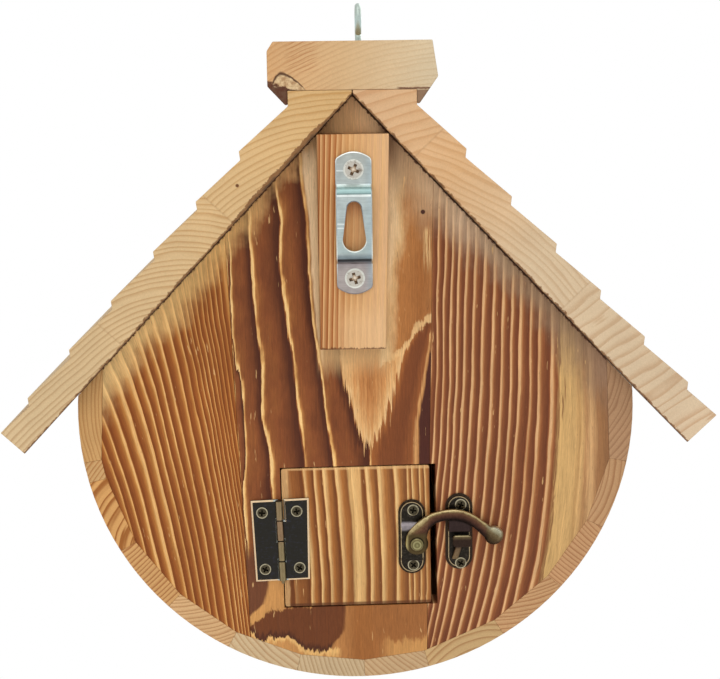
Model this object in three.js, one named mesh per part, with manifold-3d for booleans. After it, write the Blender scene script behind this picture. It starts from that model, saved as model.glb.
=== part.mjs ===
// Bird nest box seen from its back: a barrel of staves round two flat ends, a stepped roof,
// a ridge cap with a screw eye, a hanger plate on a block, and a clean-out door with a butt
// hinge and a swing latch. Millimetres, +Z up, +X to the right and +Y from the wall into the box.
// The origin is on the hanger plate's raised face, on the strip above its slot, where the nail bears.
// Heights in the values are measured from the roof's inner apex, where the two boards meet.
import * as THREE from 'three';
import { mergeVertices } from 'three/addons/utils/BufferGeometryUtils.js';
import Module from 'manifold-3d';

const wasm = await Module();
wasm.setup();

// Clearances that every fit uses
const fit = {
  joint: 0.3, // glue line between two boards
  seat: 0.2, // a fitting above what it lies on
  hole: 0.1, // round a screw, a brad or the eye in its hole
  run: 0.1, // round a pin that turns
  overrun: 2, // how far a cut runs past what it cuts
};

// Number of flat sides on round forms, and of steps in a curve
const sides = { shank: 10, head: 16, pin: 16, knuckle: 16, entrance: 36, wire: 8, ring: 26, ball: 12 };
const steps = { round_end: 10, small_corner: 2, lobe_corner: 3, band: 2 };

// Hanger plate, one stamped strip with a raised middle and a slot that narrows upward
const hanger = {
  below_apex: 34.9, // from the apex down to the strip where the nail bears
  width: 12.4,
  sheet: 1.5,
  raise: 3,
  bend_run: 2.8,
  end_bow: 2.4,
  bearing_half: 1.2, // half height of the strip between the upper bend and the slot
  slot_length: 17.1,
  slot_top_radius: 2.45,
  slot_foot_radius: 4,
  raised_foot: 1.3, // from the slot's foot to the lower bend
  upper_end: 11.6, // flat end above the upper bend
  lower_end: 11.1,
  upper_screw: 5.5, // from the bend to the screw
  lower_screw: 5.5,
};

// Block that carries the hanger plate
const block = { top: 13.4, height: 74.7, left: 12.5, right_top: 12.4, right_foot: 10.6 };

// Roof boards with milled steps that look like courses of shingles
const roof = {
  pitch_deg: 46.5,
  back_overhang: 12,
  front_overhang: 18,
  slope_length: 170.4,
  head_half_width: 21.8,
  head_rise: 1.2,
  head_cut: 5,
  first_step: 40.5, // down the slope from the apex to the first step
  step_pitch: 22.8,
  step_drop: 2.3,
  step_run: 1.9,
};
const left_board = { side: -1, apex_thickness: 14.2, eave_thickness: 9.6 };
const right_board = { side: 1, apex_thickness: 13, eave_thickness: 12.5 };

// Brads that hold each roof board to the two flat ends
const brad = { length: 27, shank_radius: 0.7, head_radius: 1.4, head_depth: 0.6, sink: 0.4 };
const brad_edge_shares = [0.55, 0.88]; // of a flat end's sloping edge

// Ridge cap, a block let down over the boards' heads
const cap = {
  top: 17.9,
  top_left: 26.7,
  top_right: 27.4,
  side_left: 28.8,
  side_right: 29.3,
  left_shoulder: 14.7,
  left_hip: 2.9,
  right_hip: 5.7,
  lip_drop: 3.4,
  lip_width: 0.8,
};

// Screw eye in the cap
const eye = {
  x: 3.7,
  wire_radius: 1.2,
  ring_radius: 5.8,
  neck: 2.3,
  shank_length: 15,
  point: 3,
};
const eye_open_from_deg = 232;
const eye_closed_at_deg = -90;

// Barrel of staves round the two flat ends
const barrel = {
  radius: 100,
  stave: 6.4, // thickness at a stave's edges, where its flat inside meets the next one
  roof_cut: 21.665, // how deep the roof boards' undersides cut into the barrel's round
  depth: 130,
};
const stave_joints_deg = [9.5, 13.9, 29.9, 45.5, 61, 76.5, 91, 104.9, 122.3, 138.2, 153.8, 168.8];
const stave_blank_deg = 16; // how far the end staves' blanks reach above the centre
const stave_facet_deg = 3;

// Flat ends, each glued up from three boards. The joints lean a little: their places at the apex
// and at the barrel's foot are shares of the barrel's radius.
const panel = { thickness: 10 };
const left_joint_shares = [-0.473, -0.394];
const right_joint_shares = [0.288, 0.248];
const entrance = { radius: 16, below_apex: 84 };

// Clean-out door in the back end
const door = {
  width: 53.5,
  height: 51.7,
  centre_x: -0.3,
  above_floor: 21.8, // from the flat end's lowest point up to the door's foot
  corner_radius: 0.9,
  hinge_gap: 0.7,
  latch_gap: 2.3,
  edge_gap: 0.7,
};
const door_turn_deg = 0.6;

// Butt hinge with four knuckles
const hinge = {
  height: 30.6,
  leaf_reach: 10.2,
  leaf: 0.9,
  knuckle_radius: 1.3,
  pin_radius: 0.6,
  pin_foot: 1, // the pin's foot stands out this far below the leaves
  axial_gap: 0.2,
  notch_gap: 0.3,
  beside_gap: 0.75, // the pin stands this far to the fixed side of the gap's middle
  below_door_centre: 0.6,
  screw_x: 6.3,
  screw_z: 10.7,
};
const hinge_lean_deg = 1.9;
const knuckle_count = 4;

// Swing latch: base plate on the door, arm, rivet, and catch plate on the fixed board
const base = {
  width: 9.8,
  height: 28,
  sheet: 1,
  raise: 1.4,
  ramp: 2.2,
  plateau_top: 3.2,
  plateau_foot: 7,
  from_door_edge: 6.8,
  below_door_centre: 0.2,
  screw_x: 0.5,
  screw_up: 10.1,
  screw_down: 10.6,
};
const rivet = {
  x: 1.65,
  below_base_centre: 1.8,
  shank_radius: 1.4,
  head_radius: 2.6,
  head_height: 1.4,
  tail_radius: 2,
  tail: 0.5,
};
const arm = {
  thickness: 1.8,
  hub_radius: 4.2,
  reach: 28, // from the rivet to the middle of the ball
  rise: 12.8,
  ball_radius: 3.5,
  ball_depth: 2.6,
  ball_rise: 2.7,
  lobe_middle: 15.6,
  lobe_width: 8.2,
  lobe_foot: 4.1,
  lobe_corner: 1.6,
};
// Outline of the arm's curved band as shares of its reach and rise, outer edge and then inner edge
const arm_outer_shares = [
  [-0.15, 0.05], [-0.117, 0.32], [0.018, 0.665], [0.19, 0.89], [0.385, 0.99],
  [0.52, 1], [0.696, 0.89], [0.857, 0.656], [0.99, 0.42],
];
const arm_inner_shares = [
  [0.886, 0.12], [0.822, 0.28], [0.75, 0.43], [0.66, 0.58], [0.535, 0.675],
  [0.385, 0.685], [0.287, 0.63], [0.168, 0.452], [0.125, 0.15],
];
const keeper = {
  width: 9.9,
  height: 28.6,
  sheet: 1,
  above_rivet: 3.5, // the catch plate's middle above the rivet
  screw_x: 0.6,
  screw_up: 10.2,
  screw_down: 11.9,
  hook_left: 2.6,
  hook_right: 4.2,
  hook_top: 0.1, // the hook head's upper edge below the plate's middle
  hook_height: 4.4,
  hook_sheet: 1.2,
  hook_corner: 1,
  stem_width: 2.4,
  stem_x: -0.5,
  stem_foot: 10.3,
  stem_sheet: 1.4,
  arm_gap: 0.4,
};

// Wood screws: the large pair holds the hanger plate, the small ones hold the door's fittings
const large_screw = {
  head_radius: 3.5,
  rim: 0.3,
  head_depth: 2,
  shank_radius: 1.7,
  length: 17.5,
  point: 4,
  proud: 0.3,
};
const small_screw = {
  head_radius: 2.1,
  rim: 0.2,
  head_depth: 1.1,
  shank_radius: 1,
  length: 8.5,
  point: 2,
  proud: 0.2,
};
const recess_depth_share = 0.55;
const recess_width_share = 0.22;
const recess_span_share = 1.15;

// Colours and finish of each kind of surface
const finishes = {
  pale_pine: { color: '#dcb98a', roughness: 0.72, metalness: 0 },
  burnt_pine: { color: '#a9692f', roughness: 0.68, metalness: 0 },
  honey_pine: { color: '#cf9250', roughness: 0.66, metalness: 0 },
  zinc: { color: '#aebcc6', roughness: 0.32, metalness: 1 },
  nickel: { color: '#c9c0b4', roughness: 0.35, metalness: 1 },
  dark_bronze: { color: '#2b2620', roughness: 0.42, metalness: 1 },
  brassy_bronze: { color: '#7b6a45', roughness: 0.36, metalness: 1 },
};

// Places along Y and Z that several pieces share
const pitch = THREE.MathUtils.degToRad(roof.pitch_deg);
const block_face = hanger.raise + hanger.sheet + fit.seat;
const roof_back = block_face;
const back_face = roof_back + roof.back_overhang;
const front_face = back_face + barrel.depth;
const roof_front = front_face + roof.front_overhang;
const corner_radius = barrel.radius - barrel.stave;
const centre_below_apex = (barrel.radius - barrel.roof_cut) / Math.cos(pitch);
const door_below_apex = centre_below_apex + corner_radius - door.above_floor - door.height / 2;
const reach_all = barrel.radius + roof.slope_length;

const house = new THREE.Group();
house.position.z = hanger.below_apex;

// Closed geometry as a solid, with its seams welded and its collapsed triangles left out
function solid(geometry) {
  geometry.deleteAttribute('normal');
  geometry.deleteAttribute('uv');
  const welded = mergeVertices(geometry);
  const index = welded.index.array;
  const triangles = [];
  for (let i = 0; i < index.length; i += 3) {
    const [a, b, c] = index.slice(i, i + 3);
    if (a !== b && b !== c && c !== a) triangles.push(a, b, c);
  }
  const body = manifoldOf(welded.attributes.position.array, triangles);
  if (body.volume() > 0) return body;
  return manifoldOf(welded.attributes.position.array, triangles.reverse());
}

function manifoldOf(positions, triangles) {
  const vertProperties = new Float32Array(positions);
  const triVerts = new Uint32Array(triangles);
  return new wasm.Manifold(new wasm.Mesh({ numProp: 3, vertProperties, triVerts }));
}

// Solid as a mesh with its own material, in the house's group
function add(name, body, finish) {
  const { vertProperties, triVerts } = body.getMesh();
  const geometry = new THREE.BufferGeometry();
  geometry.setAttribute('position', new THREE.BufferAttribute(vertProperties, 3));
  geometry.setIndex(new THREE.BufferAttribute(triVerts, 1));
  geometry.computeVertexNormals();
  const mesh = new THREE.Mesh(geometry, new THREE.MeshStandardMaterial(finishes[finish]));
  mesh.material.flatShading = true;
  mesh.name = name;
  house.add(mesh);
}

// Outline in X and Z, extruded from one Y to another
function prism(shape, from, to, curveSegments = steps.round_end) {
  const geometry = new THREE.ExtrudeGeometry(shape, { depth: to - from, bevelEnabled: false, curveSegments });
  geometry.rotateX(Math.PI / 2);
  geometry.translate(0, to, 0);
  return solid(geometry);
}

// Outline in Y and Z, extruded across X
function crossPrism(shape, from, to) {
  const geometry = new THREE.ExtrudeGeometry(shape, { depth: to - from, bevelEnabled: false });
  geometry.rotateX(Math.PI / 2);
  geometry.rotateZ(Math.PI / 2);
  geometry.translate(from, 0, 0);
  return solid(geometry);
}

function polygon(points) {
  return new THREE.Shape(points.map(([x, z]) => new THREE.Vector2(x, z)));
}

function box([x0, x1], [y0, y1], [z0, z1]) {
  const geometry = new THREE.BoxGeometry(x1 - x0, y1 - y0, z1 - z0);
  geometry.translate((x0 + x1) / 2, (y0 + y1) / 2, (z0 + z1) / 2);
  return solid(geometry);
}

// Round bar along Y
function bar(radius, from, to, count = sides.head) {
  const geometry = new THREE.CylinderGeometry(radius, radius, to - from, count);
  geometry.translate(0, (from + to) / 2, 0);
  return solid(geometry);
}

function lathe(points, count) {
  return solid(new THREE.LatheGeometry(points.map(([r, y]) => new THREE.Vector2(r, y)), count));
}

function placed(body, matrix) {
  return body.transform(matrix.elements);
}

function place(x, y, z, lean = 0) {
  return new THREE.Matrix4().makeRotationY(lean).setPosition(x, y, z);
}

// Rectangle with rounded corners, centred on a point and turned in its plane
function plateShape(width, height, corner) {
  const [w, h] = [width / 2, height / 2];
  const shape = new THREE.Shape();
  shape.moveTo(w, h - corner);
  shape.absarc(w - corner, h - corner, corner, 0, Math.PI / 2);
  shape.absarc(corner - w, h - corner, corner, Math.PI / 2, Math.PI);
  shape.absarc(corner - w, corner - h, corner, Math.PI, Math.PI * 3 / 2);
  shape.absarc(w - corner, corner - h, corner, Math.PI * 3 / 2, Math.PI * 2);
  return shape;
}

// Wood screw with its head at y = 0 and its point towards +Y. Grown by a clearance, it is the hole.
function screwBody(screw, grow = 0) {
  const mouth = grow > 0 ? -fit.overrun : 0;
  return lathe([
    [0, mouth],
    [screw.head_radius + grow, mouth],
    [screw.head_radius + grow, screw.rim + grow],
    [screw.shank_radius + grow, screw.head_depth + grow],
    [screw.shank_radius + grow, screw.length - screw.point],
    [0, screw.length + grow],
  ], sides.head);
}

function crossRecess(screw) {
  const half = screw.head_radius * recess_span_share / 2;
  const slit = screw.head_radius * recess_width_share / 2;
  const depth = [-fit.overrun, screw.head_depth * recess_depth_share];
  return box([-half, half], depth, [-slit, slit]).add(box([-slit, slit], depth, [-half, half]));
}

function addScrew(name, screw, spot, finish) {
  add(name, placed(screwBody(screw).subtract(crossRecess(screw)), spot), finish);
}

function drilled(body, screw, spots) {
  return spots.reduce((rest, spot) => rest.subtract(placed(screwBody(screw, fit.hole), spot)), body);
}

// Stamped strip: a side outline of even thickness with a raised middle, in Y and Z.
// The flats lie at y = 0 behind, and the middle stands towards -Y.
function stampedStrip(strip) {
  const { sheet, raise, ramp, top, upper, lower, foot } = strip;
  const outline = [
    [0, top], [0, upper + ramp], [-raise, upper], [-raise, lower], [0, lower - ramp], [0, foot],
    [-sheet, foot], [-sheet, lower - ramp], [-raise - sheet, lower], [-raise - sheet, upper],
    [-sheet, upper + ramp], [-sheet, top],
  ];
  return crossPrism(polygon(outline), -strip.half, strip.half);
}

// Roof board outline, in s down the slope and n square to it
function slopePoint(board, s, n) {
  const x = s * Math.cos(pitch) + n * Math.sin(pitch);
  return [board.side * x, n * Math.cos(pitch) - s * Math.sin(pitch)];
}

function boardThickness(board, s) {
  return THREE.MathUtils.lerp(board.apex_thickness, board.eave_thickness, s / roof.slope_length);
}

function stepPlaces() {
  const places = [];
  for (let s = roof.first_step; s < roof.slope_length - roof.step_run; s += roof.step_pitch) places.push(s);
  return places;
}

// Height of the stepped face above the board's underside, at s down the slope
function boardSurface(board, s) {
  const next = stepPlaces().find((place) => place >= s) ?? stepPlaces().at(-1) + roof.step_pitch;
  const share = 1 - (next - s) / (roof.step_pitch - roof.step_run);
  return boardThickness(board, s) + roof.step_drop * Math.max(share, 0);
}

function roofBoard(board) {
  const middle = board.side * fit.joint / 2;
  const outline = [
    [middle, -Math.abs(middle) * Math.tan(pitch)],
    [middle, roof.head_rise],
    [board.side * roof.head_half_width, roof.head_rise],
    [board.side * roof.head_half_width, roof.head_rise - roof.head_cut],
  ];
  for (const s of stepPlaces()) {
    outline.push(slopePoint(board, s, boardThickness(board, s) + roof.step_drop));
    outline.push(slopePoint(board, s + roof.step_run, boardThickness(board, s + roof.step_run)));
  }
  outline.push(slopePoint(board, roof.slope_length, boardSurface(board, roof.slope_length)));
  outline.push(slopePoint(board, roof.slope_length, 0));
  return prism(polygon(outline), roof_back, roof_front);
}

// Everything below the roof boards' undersides, a gap clear of them
function underRoof(gap) {
  const drop = gap / Math.cos(pitch);
  const run = reach_all * Math.cos(pitch);
  const fall = -drop - reach_all * Math.sin(pitch);
  const foot = fall - reach_all;
  return polygon([[0, -drop], [-run, fall], [-run, foot], [run, foot], [run, fall]]);
}

// Point on the barrel at an angle that runs from -X down and round to +X
function barrelPoint(angle_deg, radius) {
  const angle = THREE.MathUtils.degToRad(angle_deg);
  return [-radius * Math.cos(angle), -centre_below_apex - radius * Math.sin(angle)];
}

function staveBlank(from_deg, to_deg) {
  const slip = THREE.MathUtils.radToDeg(fit.joint / 2 / barrel.radius);
  const [first, last] = [from_deg + slip, to_deg - slip];
  const facets = Math.max(1, Math.round((last - first) / stave_facet_deg));
  const outline = [];
  for (let i = 0; i <= facets; i += 1) {
    outline.push(barrelPoint(THREE.MathUtils.lerp(first, last, i / facets), barrel.radius));
  }
  outline.push(barrelPoint(last, corner_radius), barrelPoint(first, corner_radius));
  return prism(polygon(outline), back_face, front_face);
}

function addStaves() {
  const edges = [-stave_blank_deg, ...stave_joints_deg, 180 + stave_blank_deg];
  const below = prism(underRoof(fit.joint), back_face - fit.overrun, front_face + fit.overrun);
  for (let i = 0; i < edges.length - 1; i += 1) {
    const ends = i === 0 || i === edges.length - 2;
    const blank = staveBlank(edges[i], edges[i + 1]);
    const name = `stave_${String(i + 1).padStart(2, '0')}`;
    add(name, ends ? blank.intersect(below) : blank, 'pale_pine');
  }
}

// Flat end inside the staves and under the roof, before it is cut into boards
function panelBlank(from) {
  const corners = [-stave_blank_deg, ...stave_joints_deg, 180 + stave_blank_deg];
  const outline = corners.map((angle) => barrelPoint(angle, corner_radius - fit.joint));
  const left = Math.abs(outline[0][0]);
  const right = Math.abs(outline.at(-1)[0]);
  outline.push([right, reach_all], [-left, reach_all]);
  const to = from + panel.thickness;
  const below = prism(underRoof(fit.joint), from - fit.overrun, to + fit.overrun);
  return prism(polygon(outline), from, to).intersect(below);
}

// The strips that part a flat end into its three boards
function boardStrip(which) {
  const half = fit.joint / 2;
  const [top, foot] = [reach_all, -reach_all];
  const lean = (shares) => {
    const [atApex, atFoot] = shares.map((share) => share * barrel.radius);
    const rate = (atFoot - atApex) / (centre_below_apex + barrel.radius);
    return [atApex - rate * top, atApex + rate * reach_all];
  };
  const [leftTop, leftFoot] = lean(left_joint_shares);
  const [rightTop, rightFoot] = lean(right_joint_shares);
  const outlines = {
    left: [[-reach_all, top], [leftTop - half, top], [leftFoot - half, foot], [-reach_all, foot]],
    middle: [
      [leftTop + half, top], [rightTop - half, top],
      [rightFoot - half, foot], [leftFoot + half, foot],
    ],
    right: [[rightTop + half, top], [reach_all, top], [reach_all, foot], [rightFoot + half, foot]],
  };
  return prism(polygon(outlines[which]), back_face - fit.overrun, front_face + fit.overrun);
}

function doorSpot(y = 0) {
  return place(door.centre_x, y, -door_below_apex, -THREE.MathUtils.degToRad(door_turn_deg));
}

function doorOpening() {
  const [half, rise] = [door.width / 2, door.height / 2 + door.edge_gap];
  const shape = polygon([
    [-half - door.hinge_gap, -rise], [half + door.latch_gap, -rise],
    [half + door.latch_gap, rise], [-half - door.hinge_gap, rise],
  ]);
  return placed(prism(shape, -fit.overrun, panel.thickness + fit.overrun), doorSpot(back_face));
}

// Where each fitting stands
const hinge_spot = place(
  door.centre_x - door.width / 2 - door.hinge_gap / 2 - hinge.beside_gap,
  back_face - fit.seat - hinge.knuckle_radius,
  -door_below_apex - hinge.below_door_centre,
  -THREE.MathUtils.degToRad(hinge_lean_deg),
);
const base_spot = place(
  door.centre_x + door.width / 2 - base.from_door_edge,
  back_face - fit.seat,
  -door_below_apex - base.below_door_centre,
);
const rivet_spot = base_spot.clone().multiply(place(rivet.x, 0, -rivet.below_base_centre));
const keeper_spot = rivet_spot.clone().multiply(place(arm.lobe_middle, 0, keeper.above_rivet));

function screwSpots(spot, y, places) {
  return places.map(([x, z]) => spot.clone().multiply(place(x, y, z)));
}

const leaf_face = hinge.knuckle_radius - hinge.leaf;
const hinge_screw_places = [hinge.screw_z, -hinge.screw_z];
const fixed_leaf_screws = screwSpots(
  hinge_spot, leaf_face - small_screw.proud, hinge_screw_places.map((z) => [-hinge.screw_x, z]));
const door_leaf_screws = screwSpots(
  hinge_spot, leaf_face - small_screw.proud, hinge_screw_places.map((z) => [hinge.screw_x, z]));
const base_screws = screwSpots(base_spot, -base.sheet - small_screw.proud,
  [[base.screw_x, base.screw_up], [base.screw_x, -base.screw_down]]);
const keeper_screws = screwSpots(keeper_spot, -keeper.sheet - small_screw.proud,
  [[keeper.screw_x, keeper.screw_up], [keeper.screw_x, -keeper.screw_down]]);

// Hanger plate's places, down from its bearing strip
const raised_top = hanger.bearing_half;
const slot_top = -hanger.bearing_half;
const slot_foot = slot_top - hanger.slot_length;
const raised_foot = slot_foot - hanger.raised_foot;
const plate_top = raised_top + hanger.bend_run + hanger.upper_end;
const plate_foot = raised_foot - hanger.bend_run - hanger.lower_end;
const hanger_spot = place(0, block_face - fit.seat, -hanger.below_apex);
const hanger_screws = screwSpots(hanger_spot, -hanger.sheet - large_screw.proud, [
  [0, raised_top + hanger.bend_run + hanger.upper_screw],
  [0, raised_foot - hanger.bend_run - hanger.lower_screw],
]);

// Length of a flat end's sloping edge, from the apex to where the barrel comes out from under the roof
function slopingEdge() {
  const along = centre_below_apex * Math.sin(pitch);
  const across = barrel.radius - barrel.roof_cut;
  return along + Math.sqrt(corner_radius ** 2 - across ** 2);
}

// Brads: from the stepped face through a board into the middle of a flat end's thickness
function bradSpot(board, share, y) {
  const s = slopingEdge() * share;
  const [x, z] = slopePoint(board, s, boardSurface(board, s) - brad.sink);
  const inward = new THREE.Vector3(-board.side * Math.sin(pitch), 0, -Math.cos(pitch));
  const turn = new THREE.Quaternion().setFromUnitVectors(new THREE.Vector3(0, 1, 0), inward);
  return new THREE.Matrix4().makeRotationFromQuaternion(turn).setPosition(x, y, z);
}

function bradSpots(board) {
  const back = back_face + panel.thickness / 2;
  const front = front_face - panel.thickness / 2;
  return brad_edge_shares.flatMap((share) => [bradSpot(board, share, back), bradSpot(board, share, front)]);
}

function bradBody(grow = 0) {
  const mouth = grow > 0 ? -fit.overrun : 0;
  return lathe([
    [0, mouth], [brad.head_radius + grow, mouth], [brad.head_radius + grow, brad.head_depth + grow],
    [brad.shank_radius + grow, brad.head_depth + grow], [brad.shank_radius + grow, brad.length + grow],
    [0, brad.length + grow],
  ], sides.shank);
}

function nailed(body, board) {
  return bradSpots(board).reduce((rest, spot) => rest.subtract(placed(bradBody(fit.hole), spot)), body);
}

function addRoof() {
  add('roof_board_left', nailed(roofBoard(left_board), left_board), 'pale_pine');
  add('roof_board_right', nailed(roofBoard(right_board), right_board), 'pale_pine');
  for (const [label, board] of [['left', left_board], ['right', right_board]]) {
    bradSpots(board).forEach((spot, i) => {
      add(`roof_brad_${label}_${i + 1}`, placed(bradBody(), spot), 'zinc');
    });
  }
}

const eye_spot = place(eye.x, (roof_back + roof_front) / 2, cap.top);

// Shank of the eye along Z, with its shoulder at the cap's top. Grown, it is the hole.
function eyeShank(grow = 0) {
  const top = grow > 0 ? fit.overrun : eye.neck + eye.wire_radius;
  const shank = lathe([
    [0, -eye.shank_length - grow],
    [eye.wire_radius + grow, -eye.shank_length + eye.point],
    [eye.wire_radius + grow, top],
    [0, top],
  ], sides.wire);
  return placed(shank, new THREE.Matrix4().makeRotationX(Math.PI / 2));
}

class RingArc extends THREE.Curve {
  getPoint(t) {
    const angle = THREE.MathUtils.degToRad(THREE.MathUtils.lerp(eye_closed_at_deg, eye_open_from_deg, t));
    const middle = eye.neck + eye.wire_radius + eye.ring_radius;
    const [out, up] = [eye.ring_radius * Math.cos(angle), eye.ring_radius * Math.sin(angle)];
    return new THREE.Vector3(0, out, middle + up);
  }
}

function eyeBody() {
  const section = new THREE.Shape().absarc(0, 0, eye.wire_radius, 0, Math.PI * 2);
  const path = { steps: sides.ring, extrudePath: new RingArc(), curveSegments: sides.wire };
  return eyeShank().add(solid(new THREE.ExtrudeGeometry(section, path)));
}

function capBody() {
  const inner = roof.head_half_width + fit.joint;
  const ceiling = roof.head_rise + fit.joint;
  const outline = polygon([
    [-cap.top_left, cap.top], [-cap.side_left, cap.left_shoulder], [-cap.side_left, cap.left_hip],
    [-inner - cap.lip_width, -cap.lip_drop], [-inner, -cap.lip_drop], [-inner, ceiling],
    [inner, ceiling], [inner, -cap.lip_drop], [inner + cap.lip_width, -cap.lip_drop],
    [cap.side_right, cap.right_hip], [cap.top_right, cap.top],
  ]);
  return prism(outline, roof_back, roof_front);
}

function addCap() {
  add('ridge_cap', capBody().subtract(placed(eyeShank(fit.hole), eye_spot)), 'pale_pine');
  add('screw_eye', placed(eyeBody(), eye_spot), 'zinc');
}

function addPanels() {
  const front_inside = front_face - panel.thickness;
  const backBlank = nailed(nailed(panelBlank(back_face), left_board), right_board);
  const opened = backBlank.subtract(doorOpening());
  const fitted = drilled(opened, small_screw, [...fixed_leaf_screws, ...keeper_screws]);
  const back = drilled(fitted, large_screw, hanger_screws);
  const frontBlank = nailed(nailed(panelBlank(front_inside), left_board), right_board);
  const hole = bar(entrance.radius, front_inside - fit.overrun, front_face + fit.overrun, sides.entrance);
  const front = frontBlank.subtract(placed(hole, place(0, 0, -entrance.below_apex)));
  for (const which of ['left', 'middle', 'right']) {
    add(`back_panel_${which}_board`, back.intersect(boardStrip(which)), 'burnt_pine');
    add(`front_panel_${which}_board`, front.intersect(boardStrip(which)), 'burnt_pine');
  }
}

function addDoor() {
  const shape = plateShape(door.width, door.height, door.corner_radius);
  const leaf = prism(shape, 0, panel.thickness, steps.small_corner);
  const cut = drilled(placed(leaf, doorSpot(back_face)), small_screw, [...door_leaf_screws, ...base_screws]);
  add('door', cut, 'burnt_pine');
}

function addHanger() {
  const blockShape = polygon([
    [-block.left, -block.top], [-block.left, -block.top - block.height],
    [block.right_foot, -block.top - block.height], [block.right_top, -block.top],
  ]);
  const blockBody = prism(blockShape, block_face, back_face - fit.joint);
  add('hanger_block', drilled(blockBody, large_screw, hanger_screws), 'honey_pine');
  add('hanger_plate', drilled(placed(hangerPlate(), hanger_spot), large_screw, hanger_screws), 'zinc');
  addScrew('hanger_screw_upper', large_screw, hanger_screws[0], 'nickel');
  addScrew('hanger_screw_lower', large_screw, hanger_screws[1], 'nickel');
}

function hangerPlate() {
  const half = hanger.width / 2;
  const strip = stampedStrip({
    sheet: hanger.sheet, raise: hanger.raise, ramp: hanger.bend_run, half,
    top: plate_top, upper: raised_top, lower: raised_foot, foot: plate_foot,
  });
  const outline = new THREE.Shape();
  outline.moveTo(half, plate_top - hanger.end_bow);
  outline.quadraticCurveTo(0, plate_top + hanger.end_bow, -half, plate_top - hanger.end_bow);
  outline.lineTo(-half, plate_foot + hanger.end_bow);
  outline.quadraticCurveTo(0, plate_foot - hanger.end_bow, half, plate_foot + hanger.end_bow);
  const front = -hanger.raise - hanger.sheet - fit.overrun;
  return strip.intersect(prism(outline, front, fit.overrun)).subtract(prism(slotShape(), front, fit.overrun));
}

// Slot with a round narrow top and a round wide foot
function slotShape() {
  const top = slot_top - hanger.slot_top_radius;
  const foot = slot_foot + hanger.slot_foot_radius;
  const lean = Math.asin((hanger.slot_foot_radius - hanger.slot_top_radius) / (top - foot));
  const shape = new THREE.Shape();
  shape.absarc(0, top, hanger.slot_top_radius, lean, Math.PI - lean);
  shape.absarc(0, foot, hanger.slot_foot_radius, Math.PI - lean, Math.PI * 2 + lean);
  return shape;
}

// Leaf of the hinge with every second knuckle, in the hinge's own place with the pin at 0, 0
function hingeLeaf(side, own) {
  const pitchZ = hinge.height / knuckle_count;
  const edge = hinge.knuckle_radius + hinge.notch_gap;
  const faceY = [leaf_face, hinge.knuckle_radius];
  const halfHeight = hinge.height / 2;
  const span = (from, to) => [Math.min(side * from, side * to), Math.max(side * from, side * to)];
  let leaf = box(span(edge, hinge.leaf_reach), faceY, [-halfHeight, halfHeight]);
  for (const k of own) {
    const top = halfHeight - k * pitchZ - hinge.axial_gap / 2;
    const foot = top - pitchZ + hinge.axial_gap;
    const radius = hinge.knuckle_radius;
    const round = new THREE.CylinderGeometry(radius, radius, top - foot, sides.knuckle);
    round.rotateX(Math.PI / 2).translate(0, 0, (top + foot) / 2);
    leaf = leaf.add(solid(round)).add(box(span(0, hinge.leaf_reach), faceY, [foot, top]));
  }
  return leaf.subtract(pinBody(fit.run));
}

function pinBody(grow = 0) {
  const top = hinge.height / 2 + (grow > 0 ? fit.overrun : 0);
  const foot = hinge.height / 2 + (grow > 0 ? fit.overrun : hinge.pin_foot);
  const radius = hinge.pin_radius + grow;
  const pin = new THREE.CylinderGeometry(radius, radius, top + foot, sides.pin);
  pin.rotateX(Math.PI / 2).translate(0, 0, (top - foot) / 2);
  return solid(pin);
}

function addHinge() {
  const fixed = placed(hingeLeaf(-1, [0, 2]), hinge_spot);
  const moving = placed(hingeLeaf(1, [1, 3]), hinge_spot);
  add('hinge_leaf_fixed', drilled(fixed, small_screw, fixed_leaf_screws), 'dark_bronze');
  add('hinge_leaf_door', drilled(moving, small_screw, door_leaf_screws), 'dark_bronze');
  add('hinge_pin', placed(pinBody(), hinge_spot), 'brassy_bronze');
  ['upper', 'lower'].forEach((label, i) => {
    addScrew(`hinge_screw_fixed_${label}`, small_screw, fixed_leaf_screws[i], 'dark_bronze');
    addScrew(`hinge_screw_door_${label}`, small_screw, door_leaf_screws[i], 'dark_bronze');
  });
}

// Levels of the latch, towards -Y from the wood's face less the seat
const plateau = -base.raise - base.sheet;
const arm_back = plateau - fit.seat;
const arm_front = arm_back - arm.thickness;

function basePlate() {
  const half = base.width / 2;
  const strip = stampedStrip({
    sheet: base.sheet, raise: base.raise, ramp: base.ramp, half,
    top: base.height / 2, upper: base.plateau_top, lower: -base.plateau_foot, foot: -base.height / 2,
  });
  const outline = prism(plateShape(base.width, base.height, half), plateau - fit.overrun, fit.overrun);
  const bore = bar(rivet.shank_radius + fit.hole, plateau - fit.overrun, fit.overrun);
  return strip.intersect(outline).subtract(placed(bore, place(rivet.x, 0, -rivet.below_base_centre)));
}

function rivetBody() {
  const head = arm_front - fit.run;
  const tail = plateau + base.sheet + fit.hole;
  const shoulder = head - rivet.head_height / 2;
  return lathe([
    [0, head - rivet.head_height], [rivet.head_radius / 2, head - rivet.head_height],
    [rivet.head_radius, shoulder], [rivet.head_radius, head],
    [rivet.shank_radius, head], [rivet.shank_radius, tail],
    [rivet.tail_radius, tail], [rivet.tail_radius, tail + rivet.tail], [0, tail + rivet.tail],
  ], sides.head);
}

function armBand() {
  const points = (shares) => shares.map(([x, z]) => new THREE.Vector2(x * arm.reach, z * arm.rise));
  const outer = points(arm_outer_shares);
  const inner = points(arm_inner_shares);
  const shape = new THREE.Shape();
  shape.moveTo(outer[0].x, outer[0].y);
  shape.splineThru(outer.slice(1));
  shape.lineTo(inner[0].x, inner[0].y);
  shape.splineThru(inner.slice(1));
  return prism(shape, arm_front, arm_back, steps.band);
}

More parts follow.
